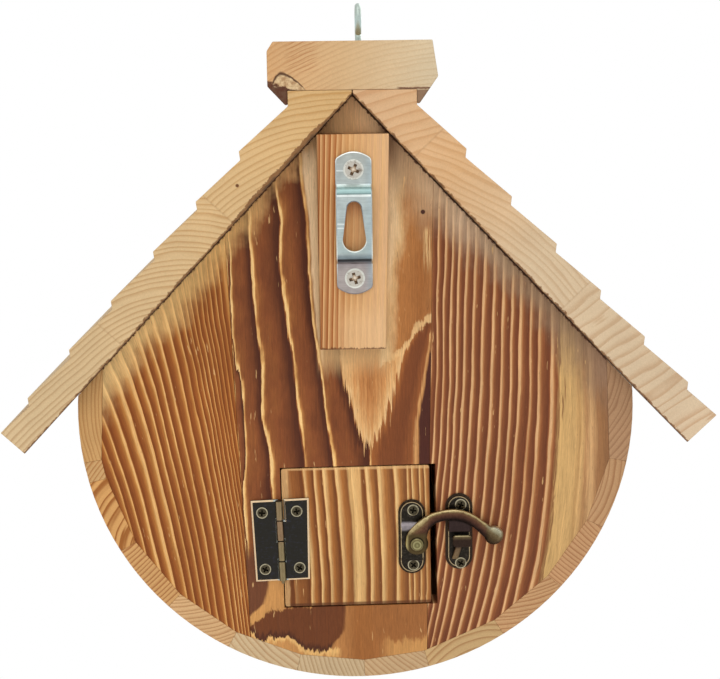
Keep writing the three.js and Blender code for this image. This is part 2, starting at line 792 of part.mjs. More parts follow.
function armBody() {
  const lobeTop = arm.rise - arm.lobe_corner;
  const lobeShape = plateShape(arm.lobe_width, lobeTop - arm.lobe_foot, arm.lobe_corner);
  const lobe = prism(lobeShape, arm_front, arm_back, steps.lobe_corner);
  const lobeSpot = place(arm.lobe_middle, 0, (lobeTop + arm.lobe_foot) / 2);
  const ball = new THREE.SphereGeometry(1, sides.ball, sides.wire);
  ball.scale(arm.ball_radius, arm.ball_depth, arm.ball_radius);
  ball.translate(arm.reach, (arm_front + arm_back) / 2, arm.ball_rise);
  const hub = bar(arm.hub_radius, arm_front, arm_back);
  const body = armBand().add(hub).add(placed(lobe, lobeSpot)).add(solid(ball));
  return body.subtract(bar(rivet.shank_radius + fit.run, arm_front - fit.overrun, arm_back + fit.overrun));
}

// Catch plate with a stem that comes out of it and a hook head in front of the arm
function keeperBody() {
  const plate = prism(plateShape(keeper.width, keeper.height, keeper.width / 2), -keeper.sheet, 0);
  const back = arm_front - keeper.arm_gap;
  const front = back - keeper.hook_sheet;
  const headFoot = -keeper.hook_top - keeper.hook_height;
  const headShape = plateShape(keeper.hook_left + keeper.hook_right, keeper.hook_height, keeper.hook_corner);
  const headSpot = place((keeper.hook_right - keeper.hook_left) / 2, 0, (headFoot - keeper.hook_top) / 2);
  const head = placed(prism(headShape, front, back, steps.small_corner), headSpot);
  const stem = crossPrism(polygon([
    [-keeper.sheet / 2, -keeper.stem_foot], [-keeper.sheet / 2, -keeper.stem_foot + keeper.stem_sheet],
    [back, headFoot + keeper.stem_sheet], [front, headFoot + keeper.stem_sheet], [front, headFoot],
  ]), keeper.stem_x - keeper.stem_width / 2, keeper.stem_x + keeper.stem_width / 2);
  return plate.add(stem).add(head);
}

function addLatch() {
  add('latch_base_plate', drilled(placed(basePlate(), base_spot), small_screw, base_screws), 'dark_bronze');
  add('latch_rivet', placed(rivetBody(), rivet_spot), 'brassy_bronze');
  add('latch_arm', placed(armBody(), rivet_spot), 'brassy_bronze');
  add('catch_plate', drilled(placed(keeperBody(), keeper_spot), small_screw, keeper_screws), 'dark_bronze');
  ['upper', 'lower'].forEach((label, i) => {
    addScrew(`latch_screw_${label}`, small_screw, base_screws[i], 'dark_bronze');
    addScrew(`catch_screw_${label}`, small_screw, keeper_screws[i], 'dark_bronze');
  });
}

addPanels();
addStaves();
addRoof();
addCap();
addHanger();
addDoor();
addHinge();
addLatch();

const nest_box = new THREE.Group();
nest_box.name = 'nest_box';
nest_box.add(house);

export default nest_box;
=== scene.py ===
"""Looks of the bird nest box seen from its back: burnt pine panels, pale pine roof and staves,
a hanger plate on its block, and a clean-out door with a butt hinge and a swing latch."""
import functools
from math import asin, atan2, copysign, cos, degrees, hypot, pi, radians, sin

import bmesh
import bpy
from mathutils import Matrix, Vector


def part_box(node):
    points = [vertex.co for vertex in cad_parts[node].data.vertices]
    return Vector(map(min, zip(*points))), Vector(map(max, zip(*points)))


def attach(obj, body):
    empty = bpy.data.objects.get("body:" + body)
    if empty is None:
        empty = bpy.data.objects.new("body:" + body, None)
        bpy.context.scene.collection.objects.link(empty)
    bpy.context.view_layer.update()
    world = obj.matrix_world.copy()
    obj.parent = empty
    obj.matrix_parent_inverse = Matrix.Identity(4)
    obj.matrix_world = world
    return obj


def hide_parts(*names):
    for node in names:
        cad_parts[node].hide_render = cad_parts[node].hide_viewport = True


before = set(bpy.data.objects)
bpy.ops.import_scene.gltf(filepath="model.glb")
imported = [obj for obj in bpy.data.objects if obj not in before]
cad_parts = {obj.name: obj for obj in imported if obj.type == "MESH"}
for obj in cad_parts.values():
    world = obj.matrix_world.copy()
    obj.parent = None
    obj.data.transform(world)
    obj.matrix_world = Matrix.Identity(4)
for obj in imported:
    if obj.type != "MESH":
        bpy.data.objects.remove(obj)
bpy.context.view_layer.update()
MM = 0.001

# Places in millimetres that the materials and pieces share, as the solids have them
APEX_Z = 34.9
PITCH = radians(46.5)
BARREL_Z = -78.9
BARREL_R = 100.0
INNER_R = 93.6
STAVE_JOINTS = [-16, 9.5, 13.9, 29.9, 45.5, 61, 76.5, 91, 104.9, 122.3, 138.2, 153.8, 168.8, 196]
HINGE_X, HINGE_Z, HINGE_LEAN = -28.15, -125.45, 0.033
RIVET_X, RIVET_Z = 21.3, -126.85
KEEPER_Z = -123.35
HANGER_SCREW_Z = (9.5, -27.9)
DOOR_FRONT = 18.5

# Joints between the boards of an end: place at the apex, and how far it has moved across at the foot
BOARD_JOINTS = ((-47.3, 7.9), (28.8, -4))
END_HEIGHT = 213.8

# Camera, from the photograph's view
CAMERA_PLACE = (-7.249, -511.636, 39.626)
CAMERA_TILT, CAMERA_YAW, CAMERA_ROLL = 9.815, 0.970, 0.779
CAMERA_LENS, CAMERA_SENSOR = 75, 36

# Light and stage, in metres
WORLD_LIGHT = 0.5
FLOOR_Z, FLOOR_RADIUS = -0.75, 1.1
FLOOR_SHADE, FLOOR_GLOW = 0.86, 0.35
MIDDLE_OF_BOX = (0, 0.08, -0.06)


def linked(name, data):
    made = bpy.data.objects.new(name, data)
    bpy.context.scene.collection.objects.link(made)
    return made


def turned(angle, axis, dimensions=4):
    return Matrix.Rotation(radians(angle), dimensions, axis)


def add_camera():
    seen = (turned(-CAMERA_ROLL, "Z", 3) @ turned(CAMERA_TILT, "X", 3) @ turned(-CAMERA_YAW, "Y", 3)
            @ turned(90, "X", 3))
    data = bpy.data.cameras.new("camera")
    data.lens, data.sensor_width, data.sensor_fit = CAMERA_LENS, CAMERA_SENSOR, "HORIZONTAL"
    data.clip_start = 0.01
    camera = linked("camera", data)
    turn = seen.transposed() @ Matrix.Diagonal((1, -1, -1))
    camera.matrix_world = Matrix.Translation(Vector(CAMERA_PLACE)*MM) @ turn.to_4x4()
    bpy.context.scene.camera = camera


# Node expressions

class Field:
    """A value in the tree that is being built, with plain arithmetic."""
    tree = None
    place = None

    def __init__(self, socket):
        self.socket = socket


for name, operation in (("add", "ADD"), ("sub", "SUBTRACT"), ("mul", "MULTIPLY"), ("truediv", "DIVIDE")):
    setattr(Field, f"__{name}__", lambda self, other, op=operation: calc(op, self, other))
    setattr(Field, f"__r{name}__", lambda self, other, op=operation: calc(op, other, self))


def make(kind, **settings):
    made = Field.tree.nodes.new(kind)
    for name, value in settings.items():
        setattr(made, name, value)
    return made


def wire(socket, value):
    if isinstance(value, Field):
        Field.tree.links.new(value.socket, socket)
    else:
        socket.default_value = value


def wired(made, *given, out=0):
    """A node's output, once its inputs are given as pairs of socket and value."""
    for name, value in given:
        wire(made.inputs[name], value)
    return Field(made.outputs[out])


def calc(operation, *values):
    return wired(make("ShaderNodeMath", operation=operation), *enumerate(values))


fract = functools.partial(calc, "FRACT")
size = functools.partial(calc, "ABSOLUTE")
smaller = functools.partial(calc, "MINIMUM")
larger = functools.partial(calc, "MAXIMUM")


def distance(a, b):
    return calc("SQRT", a*a + b*b)


def share(value, low, high, kind="SMOOTHSTEP"):
    """0 where the value is at low, 1 where it is at high, and clamped outside."""
    made = make("ShaderNodeMapRange", interpolation_type=kind)
    return wired(made, ("Value", value), ("From Min", low), ("From Max", high))


def ramp(value, low, high):
    return share(value, low, high, "LINEAR")


def near(value, far, close):
    """1 where the value is close to 0, and 0 where it is far from it."""
    return share(size(value), far, close)


def mix(amount, a, b):
    return wired(make("ShaderNodeMix", data_type="FLOAT", clamp_factor=True), (0, amount), (2, a), (3, b))


def tone(r, g, b):
    """A colour as it is to look, from its screen values."""
    def linear(c):
        c /= 255
        return c/12.92 if c <= 0.04045 else ((c + 0.055)/1.055)**2.4
    return (linear(r), linear(g), linear(b), 1.0)


def blend(amount, a, b, kind="MIX"):
    """From colour a to colour b. Each is a field or three screen values."""
    a, b = (tone(*c) if isinstance(c, tuple) else c for c in (a, b))
    made = make("ShaderNodeMix", data_type="RGBA", clamp_factor=True, blend_type=kind)
    return wired(made, (0, amount), (6, a), (7, b), out=2)


def layered(color, *layers):
    """A colour with others over it, each given as its amount and the colour."""
    for amount, over in layers:
        color = blend(amount, color, over)
    return color


def scaled(color, amount):
    """A colour made lighter or darker by a field round 1."""
    return wired(make("ShaderNodeVectorMath", operation="SCALE"), (0, color), ("Scale", amount))


def shades(value, *stops):
    """Colour along a few tones, each given as its place and its screen values."""
    made = make("ShaderNodeValToRGB")
    ramped = made.color_ramp
    for i, (place, *color) in enumerate(stops):
        stop = ramped.elements[i] if i < 2 else ramped.elements.new(place)
        stop.position, stop.color = place, tone(*color)
    return wired(made, (0, value))


def through(value, points, smooth=False):
    """A drawn line: its height over the value, through the points."""
    points = sorted(points)
    low, high = points[0][0], points[-1][0]
    heights = [p[1] for p in points]
    floor, rise = min(heights), max(max(heights) - min(heights), 1e-6)
    spots = [((at - low)/(high - low), (height - floor)/rise) for at, height in points]
    made = make("ShaderNodeFloatCurve")
    curve = made.mapping.curves[0]
    curve.points[0].location, curve.points[-1].location = spots[0], spots[-1]
    for spot_on_line in spots[1:-1]:
        curve.points.new(*spot_on_line)
    for point in curve.points:
        point.handle_type = "AUTO_CLAMPED" if smooth else "VECTOR"
    made.mapping.update()
    return wired(made, ("Factor", 1.0), ("Value", ramp(value, low, high)))*rise + floor


def noise(x, y, z, detail=2.0, rough=0.5):
    """Cloudy noise about 0, mostly within -0.5 and 0.5. Its grain is the size of the values' unit."""
    at = wired(make("ShaderNodeCombineXYZ"), (0, x), (1, y), (2, z))
    made = make("ShaderNodeTexNoise", noise_dimensions="3D")
    return (wired(made, ("Vector", at), ("Scale", 1.0), ("Detail", detail), ("Roughness", rough)) - 0.5)*2


def grain(across, deep, along, detail=2.0, rough=0.5):
    """Noise over the place, with its fineness along each axis."""
    x, y, z = Field.place
    return noise(x*across, y*deep, z*along, detail, rough)


def mottling(fineness, detail=2.0, rough=0.5):
    return grain(fineness, fineness, fineness, detail, rough)


def new_tree(owner):
    owner.use_nodes = True
    Field.tree = owner.node_tree
    Field.tree.nodes.clear()
    return owner


def material(name, build, **constants):
    """A material whose colour, roughness and bump come from build(x, y, z), in millimetres."""
    made = new_tree(bpy.data.materials.new(name))
    shader, output = make("ShaderNodeBsdfPrincipled"), make("ShaderNodeOutputMaterial")
    Field.tree.links.new(shader.outputs[0], output.inputs["Surface"])
    apart = make("ShaderNodeSeparateXYZ")
    Field.tree.links.new(make("ShaderNodeTexCoord").outputs["Object"], apart.inputs[0])
    Field.place = [Field(apart.outputs[i])*1000.0 for i in range(3)]
    color, roughness, height = build(*Field.place)
    wire(shader.inputs["Base Color"], color)
    wire(shader.inputs["Roughness"], roughness)
    constants = {"Specular IOR Level": 0.2, **constants}
    for socket, value in constants.items():
        shader.inputs[socket].default_value = value
    bump = wired(make("ShaderNodeBump"), ("Strength", 1.0), ("Distance", MM), ("Height", height))
    wire(shader.inputs["Normal"], bump)
    return made


# Wood

# Over one ring, from its pale line on: how light burnt wood is, with wide rings and with the right board's,
# and how dark plain wood is
BURNT_RING = [(0, 1), (0.09, 0.97), (0.2, 0.66), (0.4, 0.4), (0.65, 0.2), (0.88, 0), (0.94, 0.3), (1, 1)]
WIDE_RING = [(0, 1), (0.05, 0.88), (0.1, 0.5), (0.18, 0.36), (0.55, 0.28), (0.72, 0.18), (0.84, 0.04),
             (0.94, 0), (0.975, 0.35), (1, 1)]
RIGHT_RING = [(0, 1), (0.13, 0.93), (0.24, 0.55), (0.38, 0.28), (0.6, 0.1), (0.86, 0), (0.94, 0.35), (1, 1)]
PLAIN_RING = [(0, 0.1), (0.35, 0.08), (0.6, 0.35), (0.82, 0.95), (0.92, 1), (1, 0.1)]


def streaked(across, deep, along):
    """Fine streaks along the grain, and finer fibres."""
    streaks = noise(across*2.4, deep*2.4, along*0.05, 3, 0.6)
    return streaks, noise(across*2.9, deep*1.5, along*0.22, 3, 0.7)


def warped(x, z, origin, lean, fan, bend, spread=0.0, skew=0.0, curl=0.0):
    """Place across the grain of a board, measured at the origin's height."""
    across, up = x - origin[0], z - origin[1]
    turn = lean + across*fan + up*bend + across*across*spread + across*up*skew + up*up*curl
    return x + up*turn


def ring_part(u, lines):
    """How far across its ring a place is, where a ring runs from each pale line to the next."""
    first, last = lines[1] - lines[0], lines[-1] - lines[-2]
    more = [lines[0] - first*k for k in (3, 2, 1)] + lines + [lines[-1] + last*k for k in (1, 2, 3)]
    return fract(through(u, [(at, k) for k, at in enumerate(more)]))


def smoky_edge(color, x, z, light=0.5):
    """Unburnt, smoky fade along the roof, with painted light and painted shade near it."""
    gap = (APEX_Z - z)*cos(PITCH) - size(x)*sin(PITCH)
    ragged = gap + noise(x*0.12, z*0.12, 3.0, 3)*6 + noise(x*0.9, z*0.1, 5.0)*2
    reach = through(x, [(-95, 14), (-84, 12), (-74, 9.5), (-62, 11), (-54, 11), (-46, 7), (-41, 7),
                        (-35, 9.5), (-31, 6), (-22, 3.5), (-16, 5), (-10, 8), (13, 19), (17.5, 14.5),
                        (24, 17), (30, 12), (45, 10.5), (52, 9), (60, 9), (68, 10), (75, 15), (95, 14)])
    pale = shades(ramp(x, -95, 95), (0, 230, 192, 130), (0.25, 230, 184, 116), (0.42, 200, 150, 98),
                  (0.5, 208, 160, 112), (0.57, 226, 192, 148), (0.61, 200, 166, 126), (0.7, 194, 164, 132),
                  (0.8, 154, 126, 97), (0.9, 142, 114, 88), (1, 134, 104, 82))
    # Painted light: the fade is made lighter still within 12 mm of the roof, against the shade that the roof
    # casts there
    painted_light_near_roof = through(x, [(-95, 0.1), (-75, 0.22), (-30, 0.24), (-20, 0.04), (18, 0.1), (27, 0.22),
                            (65, 0.26), (75, 0.16), (95, 0.1)])
    strength = through(x, [(-95, 0.88), (-60, 0.85), (-30, 0.65), (10, 0.9), (45, 0.92), (95, 0.85)])
    # Painted shade under the roof, beside the block
    painted_shade_by_block = share(gap, 17, 1.5)*ramp(x, 23, 13.5)*share(x, 8, 12)
    # A dark ragged line right under the boards: painted shade, with a chipped edge
    chipped_shade_edge = noise(x*0.7, z*0.7, 9.0, 3, 0.65)
    return layered(color, (share(ragged, reach*1.3, reach*0.05)*strength,
                           scaled(pale, 0.88 + light*0.28 + share(gap, 12, 0)*painted_light_near_roof)),
                   (painted_shade_by_block*0.8, (110, 64, 34)), (share(gap + chipped_shade_edge*1.2, 0.8, 0.3), (84, 48, 30)))


def burnt_look(color, light, u, y, z):
    """Fibres, flecks and relief that every burnt board has, along its grain."""
    streaks, fine = streaked(u, y, z)
    flecks = share(noise(u*1.6, y*1.6, z*0.16, 3, 0.7), 0.26, 0.5)
    dashes = share(noise(u*1.1, y, z*0.12 + 31, 2, 0.6), 0.4, 0.5)
    clouds = noise(u*0.035, y*0.03, z*0.02)
    color = scaled(color, 1 + streaks*0.36 + fine*0.34 + clouds*0.2)
    color = layered(color, (flecks*0.4, (88, 50, 32)), (dashes*0.6, (232, 186, 124)))
    return color, 0.62 - light*0.1 + streaks*0.12, light*0.12 + streaks*0.06 + fine*0.03


# Where the pale lines cross the boards, at their origins' heights
LEFT_LINES = [-89.4, -86, -81.6, -77, -72.7, -69.7, -66.5, -63.6, -60.6, -57.1, -54.3, -52.1, -50.5,
              -49.1, -47.6, -46.1, -45, -43.6]
RIGHT_LINES = [28.2, 30.6, 33, 35.3, 38, 40.9, 44.3, 48.1, 51.7, 55.1, 58.2, 62.5, 65.7, 70.4]
DOOR_LINES = [-23.8, -18, -14.2, -10.8, -6.3, -0.8, 4.3, 8.4, 14.2, 18.8, 20.5, 23, 25]
BLOCK_LINES = [-14.8, -13.2, -11.7, -10.1, -8.3, -6.5, -4.7, -2.5, -0.6, 1.6, 3.6, 5.8, 8.5]


def left_board(x, y, z):
    u = warped(x, z, (-65, -95), 0.194, -0.0042, -8.4e-5, 2.2e-5, -5.7e-6, -2.5e-6)
    u = u + grain(0.05, 0.02, 0.02)*1.2 + grain(0.3, 0.05, 0.06)*0.4
    light = through(1 - ring_part(u, LEFT_LINES), BURNT_RING)*(1 + grain(0.1, 0.1, 0.015)*0.5)
    light = light*through(u, [(-95, 0.7), (-84, 0.85), (-77, 1.1), (-70, 0.9), (-60, 0.85), (-50, 0.75),
                              (-44, 0.6)])
    color = shades(light, (0, 120, 60, 22), (0.3, 150, 85, 36), (0.6, 186, 124, 60), (0.9, 228, 176, 110))
    olive = shades(light, (0, 120, 76, 26), (0.5, 178, 128, 60), (0.9, 218, 182, 118))
    color = blend(share(z - x*0.8, -10, 60)*0.35, color, olive)
    return burnt_look(smoky_edge(color, x, z, light), light, u, y, z)


def right_board(x, y, z):
    u = warped(x, z, (55, -80), -0.049, 0.00114, 0.00074, 4.6e-5, 4e-6, -4.8e-6)
    u = u + grain(0.05, 0.02, 0.02)*0.9 + grain(0.2, 0.05, 0.05)*0.55
    light = through(ring_part(u, RIGHT_LINES), RIGHT_RING)*(1 + grain(0.1, 0.1, 0.015)*0.5)
    color = shades(light, (0, 108, 58, 34), (0.3, 142, 84, 48), (0.6, 182, 124, 76), (0.9, 218, 170, 120))
    jag = noise(u*0.8, y*0.1, z*0.04, 3, 0.65)
    pale = shades(ramp(u + jag*1.5, 72, 92), (0, 178, 132, 80), (0.1, 208, 166, 106), (0.35, 206, 164, 106),
                  (0.43, 190, 146, 92), (0.48, 205, 162, 106), (0.56, 172, 126, 82), (0.64, 204, 160, 110),
                  (0.76, 156, 110, 70), (0.85, 146, 102, 64), (1, 130, 90, 60))
    color = layered(color, (share(u + jag*1.6, 72.2, 73.4), scaled(pale, 1 + jag*0.35)),
                    (near(u + jag*4.5 - 73.2, 0.7, 0.2)*0.7, (116, 68, 38)))
    return burnt_look(smoky_edge(color, x, z, light), light, u, y, z)


def door_board(x, y, z):
    u = warped(x, z, (0, -125), 0.029, -0.0009, 0.00065)
    u = u + grain(0.06, 0.02, 0.02)*0.9 + grain(0.3, 0.05, 0.08)*0.5
    light = through(ring_part(u, DOOR_LINES), BURNT_RING)*(1 + grain(0.1, 0.1, 0.02)*0.4)
    light = light*through(x, [(-27, 0.6), (-16, 0.95), (8, 1), (27, 0.85)])
    dark = shades(ramp(x, -27, 27), (0, 106, 57, 26), (0.5, 114, 65, 31), (1, 126, 77, 42))
    middle = shades(ramp(x, -27, 27), (0, 162, 99, 46), (1, 174, 115, 60))
    behind = share(y, DOOR_FRONT, DOOR_FRONT - 1)
    # Painted shade along the door's lower edge
    foot = share(z - x*0.0105, -149.5, -150.2)
    rubbed = larger(near(z + 99.0, 0.9, 0.3), share(x + noise(x*0.5, y, z*0.2)*0.6, -24.8, -25.6))
    color = layered(dark, (ramp(light, 0.05, 0.4), middle), (ramp(light, 0.4, 0.95), (230, 186, 124)),
                    (near(u - 0.1, 2.7, 1.8)*0.7, (226, 180, 116)),
                    (near(u + 21.9, 2.6, 1.6)*0.65, (134, 80, 40)),
                    (foot*behind*0.8, (92, 52, 28)), (rubbed*behind*0.6, (226, 180, 122)))
    return burnt_look(color, light, u, y, z)


# The middle board's lines from its left joint on, each as heights and places across
MIDDLE_LINES = [
    [(35, -47.3), (-179, -39.4)],
    [(35, -46.5), (-20, -44), (-50, -43.9), (-60, -42.8), (-66, -41), (-80, -40.5), (-92, -40), (-107, -41.5),
     (-175, -39)],
    [(35, -40), (-8, -37), (-30, -36.3), (-42, -35.5), (-50, -34.8), (-60, -33.5), (-70, -34), (-80, -34),
     (-88, -32.5), (-95, -31.2), (-175, -30)],
    [(35, -30), (0, -27), (-8, -25.6), (-22, -26.5), (-37, -25), (-50, -23.6), (-60, -22), (-68, -21.8),
     (-79, -20.4), (-88, -19.6), (-96, -18.8), (-175, -16)],
    [(35, -19.5), (8, -18.5), (-12, -16.4), (-28, -16.3), (-45, -15), (-56, -13.6), (-65, -12.4), (-78, -11),
     (-88, -9.6), (-97, -8.5), (-175, -4)]]
TONGUE_LEFT = [(35, -7), (-50, -6), (-58, -5.5), (-68, -4.5), (-74, -2), (-83, 0), (-90, 2.5), (-92, 4.8),
               (-175, 5)]
TONGUE_RIGHT = [(35, 34), (-43, 27), (-50, 22), (-56, 18), (-65, 15.5), (-74, 13), (-81, 10.5), (-88, 7),
                (-92, 4.9), (-175, 5.4)]
LAST_LINE = [(35, 30), (-40, 29), (-58, 26.8), (-66, 25.5), (-75, 24), (-82, 23), (-98, 22.8), (-175, 22)]


def middle_board(x, y, z):
    jag = grain(0.9, 0.3, 0.05, 3, 0.6) + noise(3.0, y*0.05, z*0.12, 3)*0.7
    sx, sz = x + jag*0.8, z + grain(0.8, 0.3, 0.03)*5
    flame = grain(1.0, 0.3, 0.025, 4, 0.72)
    streaky = grain(0.9, 0.3, 0.05, 4, 0.75)
    left_edge = through(z + flame*16, TONGUE_LEFT)
    right_edge = through(z + flame*mix(share(z, -70, -56), 15, 4), TONGUE_RIGHT)
    edges = [through(sz, line) for line in MIDDLE_LINES] + [left_edge]
    number = sum(ramp(sx, a, b) for a, b in zip(edges, edges[1:]))
    light = through(fract(number*0.999), WIDE_RING)*(1 + grain(0.2, 0.1, 0.08, 3)*0.8)
    color = shades(light, (0, 72, 35, 21), (0.12, 96, 51, 28), (0.3, 126, 70, 37), (0.45, 140, 83, 42),
                   (0.64, 180, 121, 66), (0.86, 220, 168, 100), (1, 240, 196, 130))
    strip = share(sx, edges[4] + 0.6, edges[4] + 1.6)*share(x, -11, -12)*share(z, -66, -56)
    right_side = shades(ramp(sx, right_edge, through(sz, LAST_LINE)), (0, 158, 94, 46), (0.2, 122, 67, 34),
                        (0.6, 114, 62, 32), (0.84, 142, 82, 42), (0.91, 208, 152, 94), (0.96, 176, 120, 70),
                        (1, 72, 34, 24))
    # The tongue of pale wood under the block, streaked and with ragged sides
    rim = smaller(sx - left_edge, right_edge - sx)
    tongue = shades(ramp(rim + streaky*9, -2, 10), (0, 238, 200, 146), (0.3, 218, 168, 110),
                    (0.55, 200, 142, 86), (0.8, 186, 124, 70), (1, 170, 110, 60))
    inside = share(sx, left_edge, left_edge + 0.5)*share(sx, right_edge, right_edge - 0.5)
    # Beside the block the wood is paler and smoother, with a pale line below
    soft = x - (z + 28)*0.1 + grain(0.12, 0.1, 0.06, 4, 0.6)*4
    beside_block = shades(ramp(soft, 12, 29), (0, 240, 208, 160), (0.13, 224, 184, 130), (0.3, 180, 120, 66),
                          (0.7, 156, 98, 50), (1, 172, 114, 64))
    line = through(x, [(8, -62), (13, -59), (18, -55), (22, -48.5), (26, -45.2), (31, -44)])
    over = z + flame*3 + grain(0.4, 0.1, 0.4, 3)*3 - line
    color = layered(color, (strip*0.9, (240, 206, 160)),
                    (share(sx, left_edge - 0.2, left_edge + 0.4), right_side), (inside, tongue),
                    (share(z, -126, -134), foot_tones(x, z)),
                    (share(x, 8, 10)*share(over, -1, 0.6), beside_block),
                    (near(over - 0.4, 2.2, 0.5)*share(x, 11, 15)*0.8, (230, 188, 130)),
                    (near(x + 0.5, 14, 11)*share(z + streaky*6, -67, -57)*0.75, (208, 168, 116)))
    # A small knot with torn pale fibres under it
    torn = near(x - 26 + flame*2, 1.8, 0.6)*share(z, -11, -14)*share(z, -30, -21)*share(streaky, -0.2, 0.05)
    color = layered(smoky_edge(color, x, z), (torn*0.8, (224, 184, 128)),
                    (share(distance(x - 24.5, z + 6.5), 1.0, 0.6), (70, 38, 28)))
    return burnt_look(color, light, sx, y, z)


def foot_tones(x, z):
    """The wood below the door, where two dark patches end in ragged pale edges."""
    ragged = grain(0.45, 0.2, 0.1, 4, 0.7)
    sz, sx = z + ragged*5, x + ragged
    top_edge = through(x, [(-45, -160), (-39.3, -158.5), (-33, -152.7), (-27, -151.5), (-5, -149)])
    foot_edge = through(x, [(-45, -160.5), (-40, -161.5), (-36, -163.5), (-30, -162.3), (-25, -163),
                            (-22, -166), (-17, -168.5), (-4, -169)], smooth=True)
    side_edge = through(z, [(-172, -12.5), (-168.5, -11), (-165.5, -9.5), (-163, -7), (-160, -5.5),
                            (-140, -5)], smooth=True)
    upper_edge = through(z, [(-158, -44), (-153.7, -39.3), (-150, -35), (-143, -33), (-120, -33)])
    base = shades(ramp(x, -40, 25), (0, 202, 146, 84), (0.5, 182, 124, 70), (0.6, 155, 97, 49),
                  (1, 159, 101, 54))
    rim = share(sz, foot_edge - 3, foot_edge - 1)*share(sz, foot_edge + 0.6, foot_edge - 0.2)*share(x, -6, -9)
    low_right = share(sz, -163.5, -166)*share(x, 6, 14)
    patch = share(sz, top_edge + 0.6, top_edge - 0.6)*share(sz, foot_edge - 0.5, foot_edge + 0.3)
    burnt = blend(share(sz, foot_edge + 3, foot_edge + 0.5), (106, 58, 30), (76, 40, 24))
    return layered(base, (rim, (226, 176, 108)), (low_right*0.7, (214, 158, 92)),
                   (patch*share(sx, side_edge + 0.7, side_edge - 0.7), burnt),
                   (share(sx, upper_edge + 0.7, upper_edge - 0.7), (106, 62, 38)))


def front_board(origin, spacing, pale):
    """Burnt boards of the front end, which the photograph doesn't show."""
    def build(x, y, z):
        across, up = x - origin[0], z - origin[1]
        u = x + noise(x*0.012, origin[0]*0.1, z*0.006)*22 + up*up*across*2e-5
        light = through(fract(u/spacing + grain(0.05, 0.02, 0.012)*0.4), BURNT_RING)
        color = shades(light, (0, 118, 68, 38), (0.3, 148, 90, 48), (0.65, 182, 124, 72), (1, *pale))
        return burnt_look(smoky_edge(color, x, z, light), light, u, y, z)
    return build


def end_rings(a, b, y, centre, pitch, seed):
    """Darkness of plain wood whose rings run round a centre and along Y."""
    away = distance(a - centre[0], b - centre[1])
    uneven = noise(a*0.04, b*0.04, y*0.004 + seed)*0.8 + noise(away*0.25, seed, 0.0)*0.9
    return through(fract(away/pitch + uneven), PLAIN_RING)


def plain_wood(darkness, x, y, z, pale, line):
    """Plain sawn pine: ring lines, pores, and a little dirt."""
    pores = noise(x*2.6, y*0.1, z*2.6, 3, 0.65)
    clouds = noise(x*0.05, y*0.02, z*0.05)
    color = scaled(blend(darkness, pale, line), 1 + pores*0.16 + clouds*0.12)
    return color, 0.66 + pores*0.14, darkness*0.05 + pores*0.05


def roof_look(side, planks, pale, line):
    """A roof board glued up from planks: each has its own ring centre and pitch down the slope."""
    def build(x, y, z):
        across, up = x*side, z - APEX_Z
        s = across*cos(PITCH) - up*sin(PITCH)
        n = across*sin(PITCH) + up*cos(PITCH)
        dark = seams = 0.0
        for i, (start, centre, pitch, strength) in enumerate(planks):
            rings = end_rings(s, n, y, centre, pitch, i*3.7 + side)*strength
            dark = mix(share(s, start - 0.15, start + 0.15), dark, rings)
            seams = larger(seams, near(s - start, 0.5, 0.1))
        down, back = ramp(s, 0, 170), share(y, 60, 30)
        color, roughness, bump = plain_wood(dark, s, y, n, shades(down, *pale), shades(down, *line))
        color = blend(seams*0.2, color, (150, 105, 66))
        thick = 0.6
        if side < 0:
            color = blend(share(distance(s - 49.5, n - 8.0), 0.8, 0.4)*back, color, (112, 70, 42))
            thick = through(s, [(0, 0.5), (12, 0.8), (20, 1.9), (34, 1.5), (48, 1.7), (60, 0.8), (120, 0.6),
                                (170, 0.5)])
        # Painted shade and splinters along the lower edge, thickest on the upper left
        torn = n + noise(s*0.5, n*0.6, y*0.05, 4, 0.7)*1.3
        edge = blend(share(torn, thick*0.6, 0.0), (126, 84, 50), (64, 36, 24))
        color = blend(share(torn, thick + 0.25, thick - 0.15)*back*0.9, color, edge)
        return color, roughness, bump
    return build


# Each roof board: its side, its planks as start, ring centre, ring pitch and strength, then the tones of its
# pale wood and of its lines
ROOFS = {
    "left": (-1,
             [(-20, (63.5, -53.5), 2.1, 0.75), (60, (131, -43.8), 1.9, 0.8), (118, (175, -283), 1.8, 0.75)],
             [(0, 216, 177, 122), (0.5, 217, 186, 140), (1, 214, 187, 145)],
             [(0, 190, 142, 82), (0.5, 190, 148, 98), (1, 180, 145, 105)]),
    "right": (1, [(-20, (119, -53), 3.4, 0.6), (30, (95, -110), 2.4, 0.6), (104, (-900, 150), 4.4, 0.65)],
              [(0, 220, 180, 138), (0.25, 218, 176, 130), (0.5, 216, 191, 156), (1, 216, 192, 160)],
              [(0, 196, 142, 96), (0.25, 196, 146, 94), (0.5, 192, 158, 120), (1, 186, 144, 106)])}


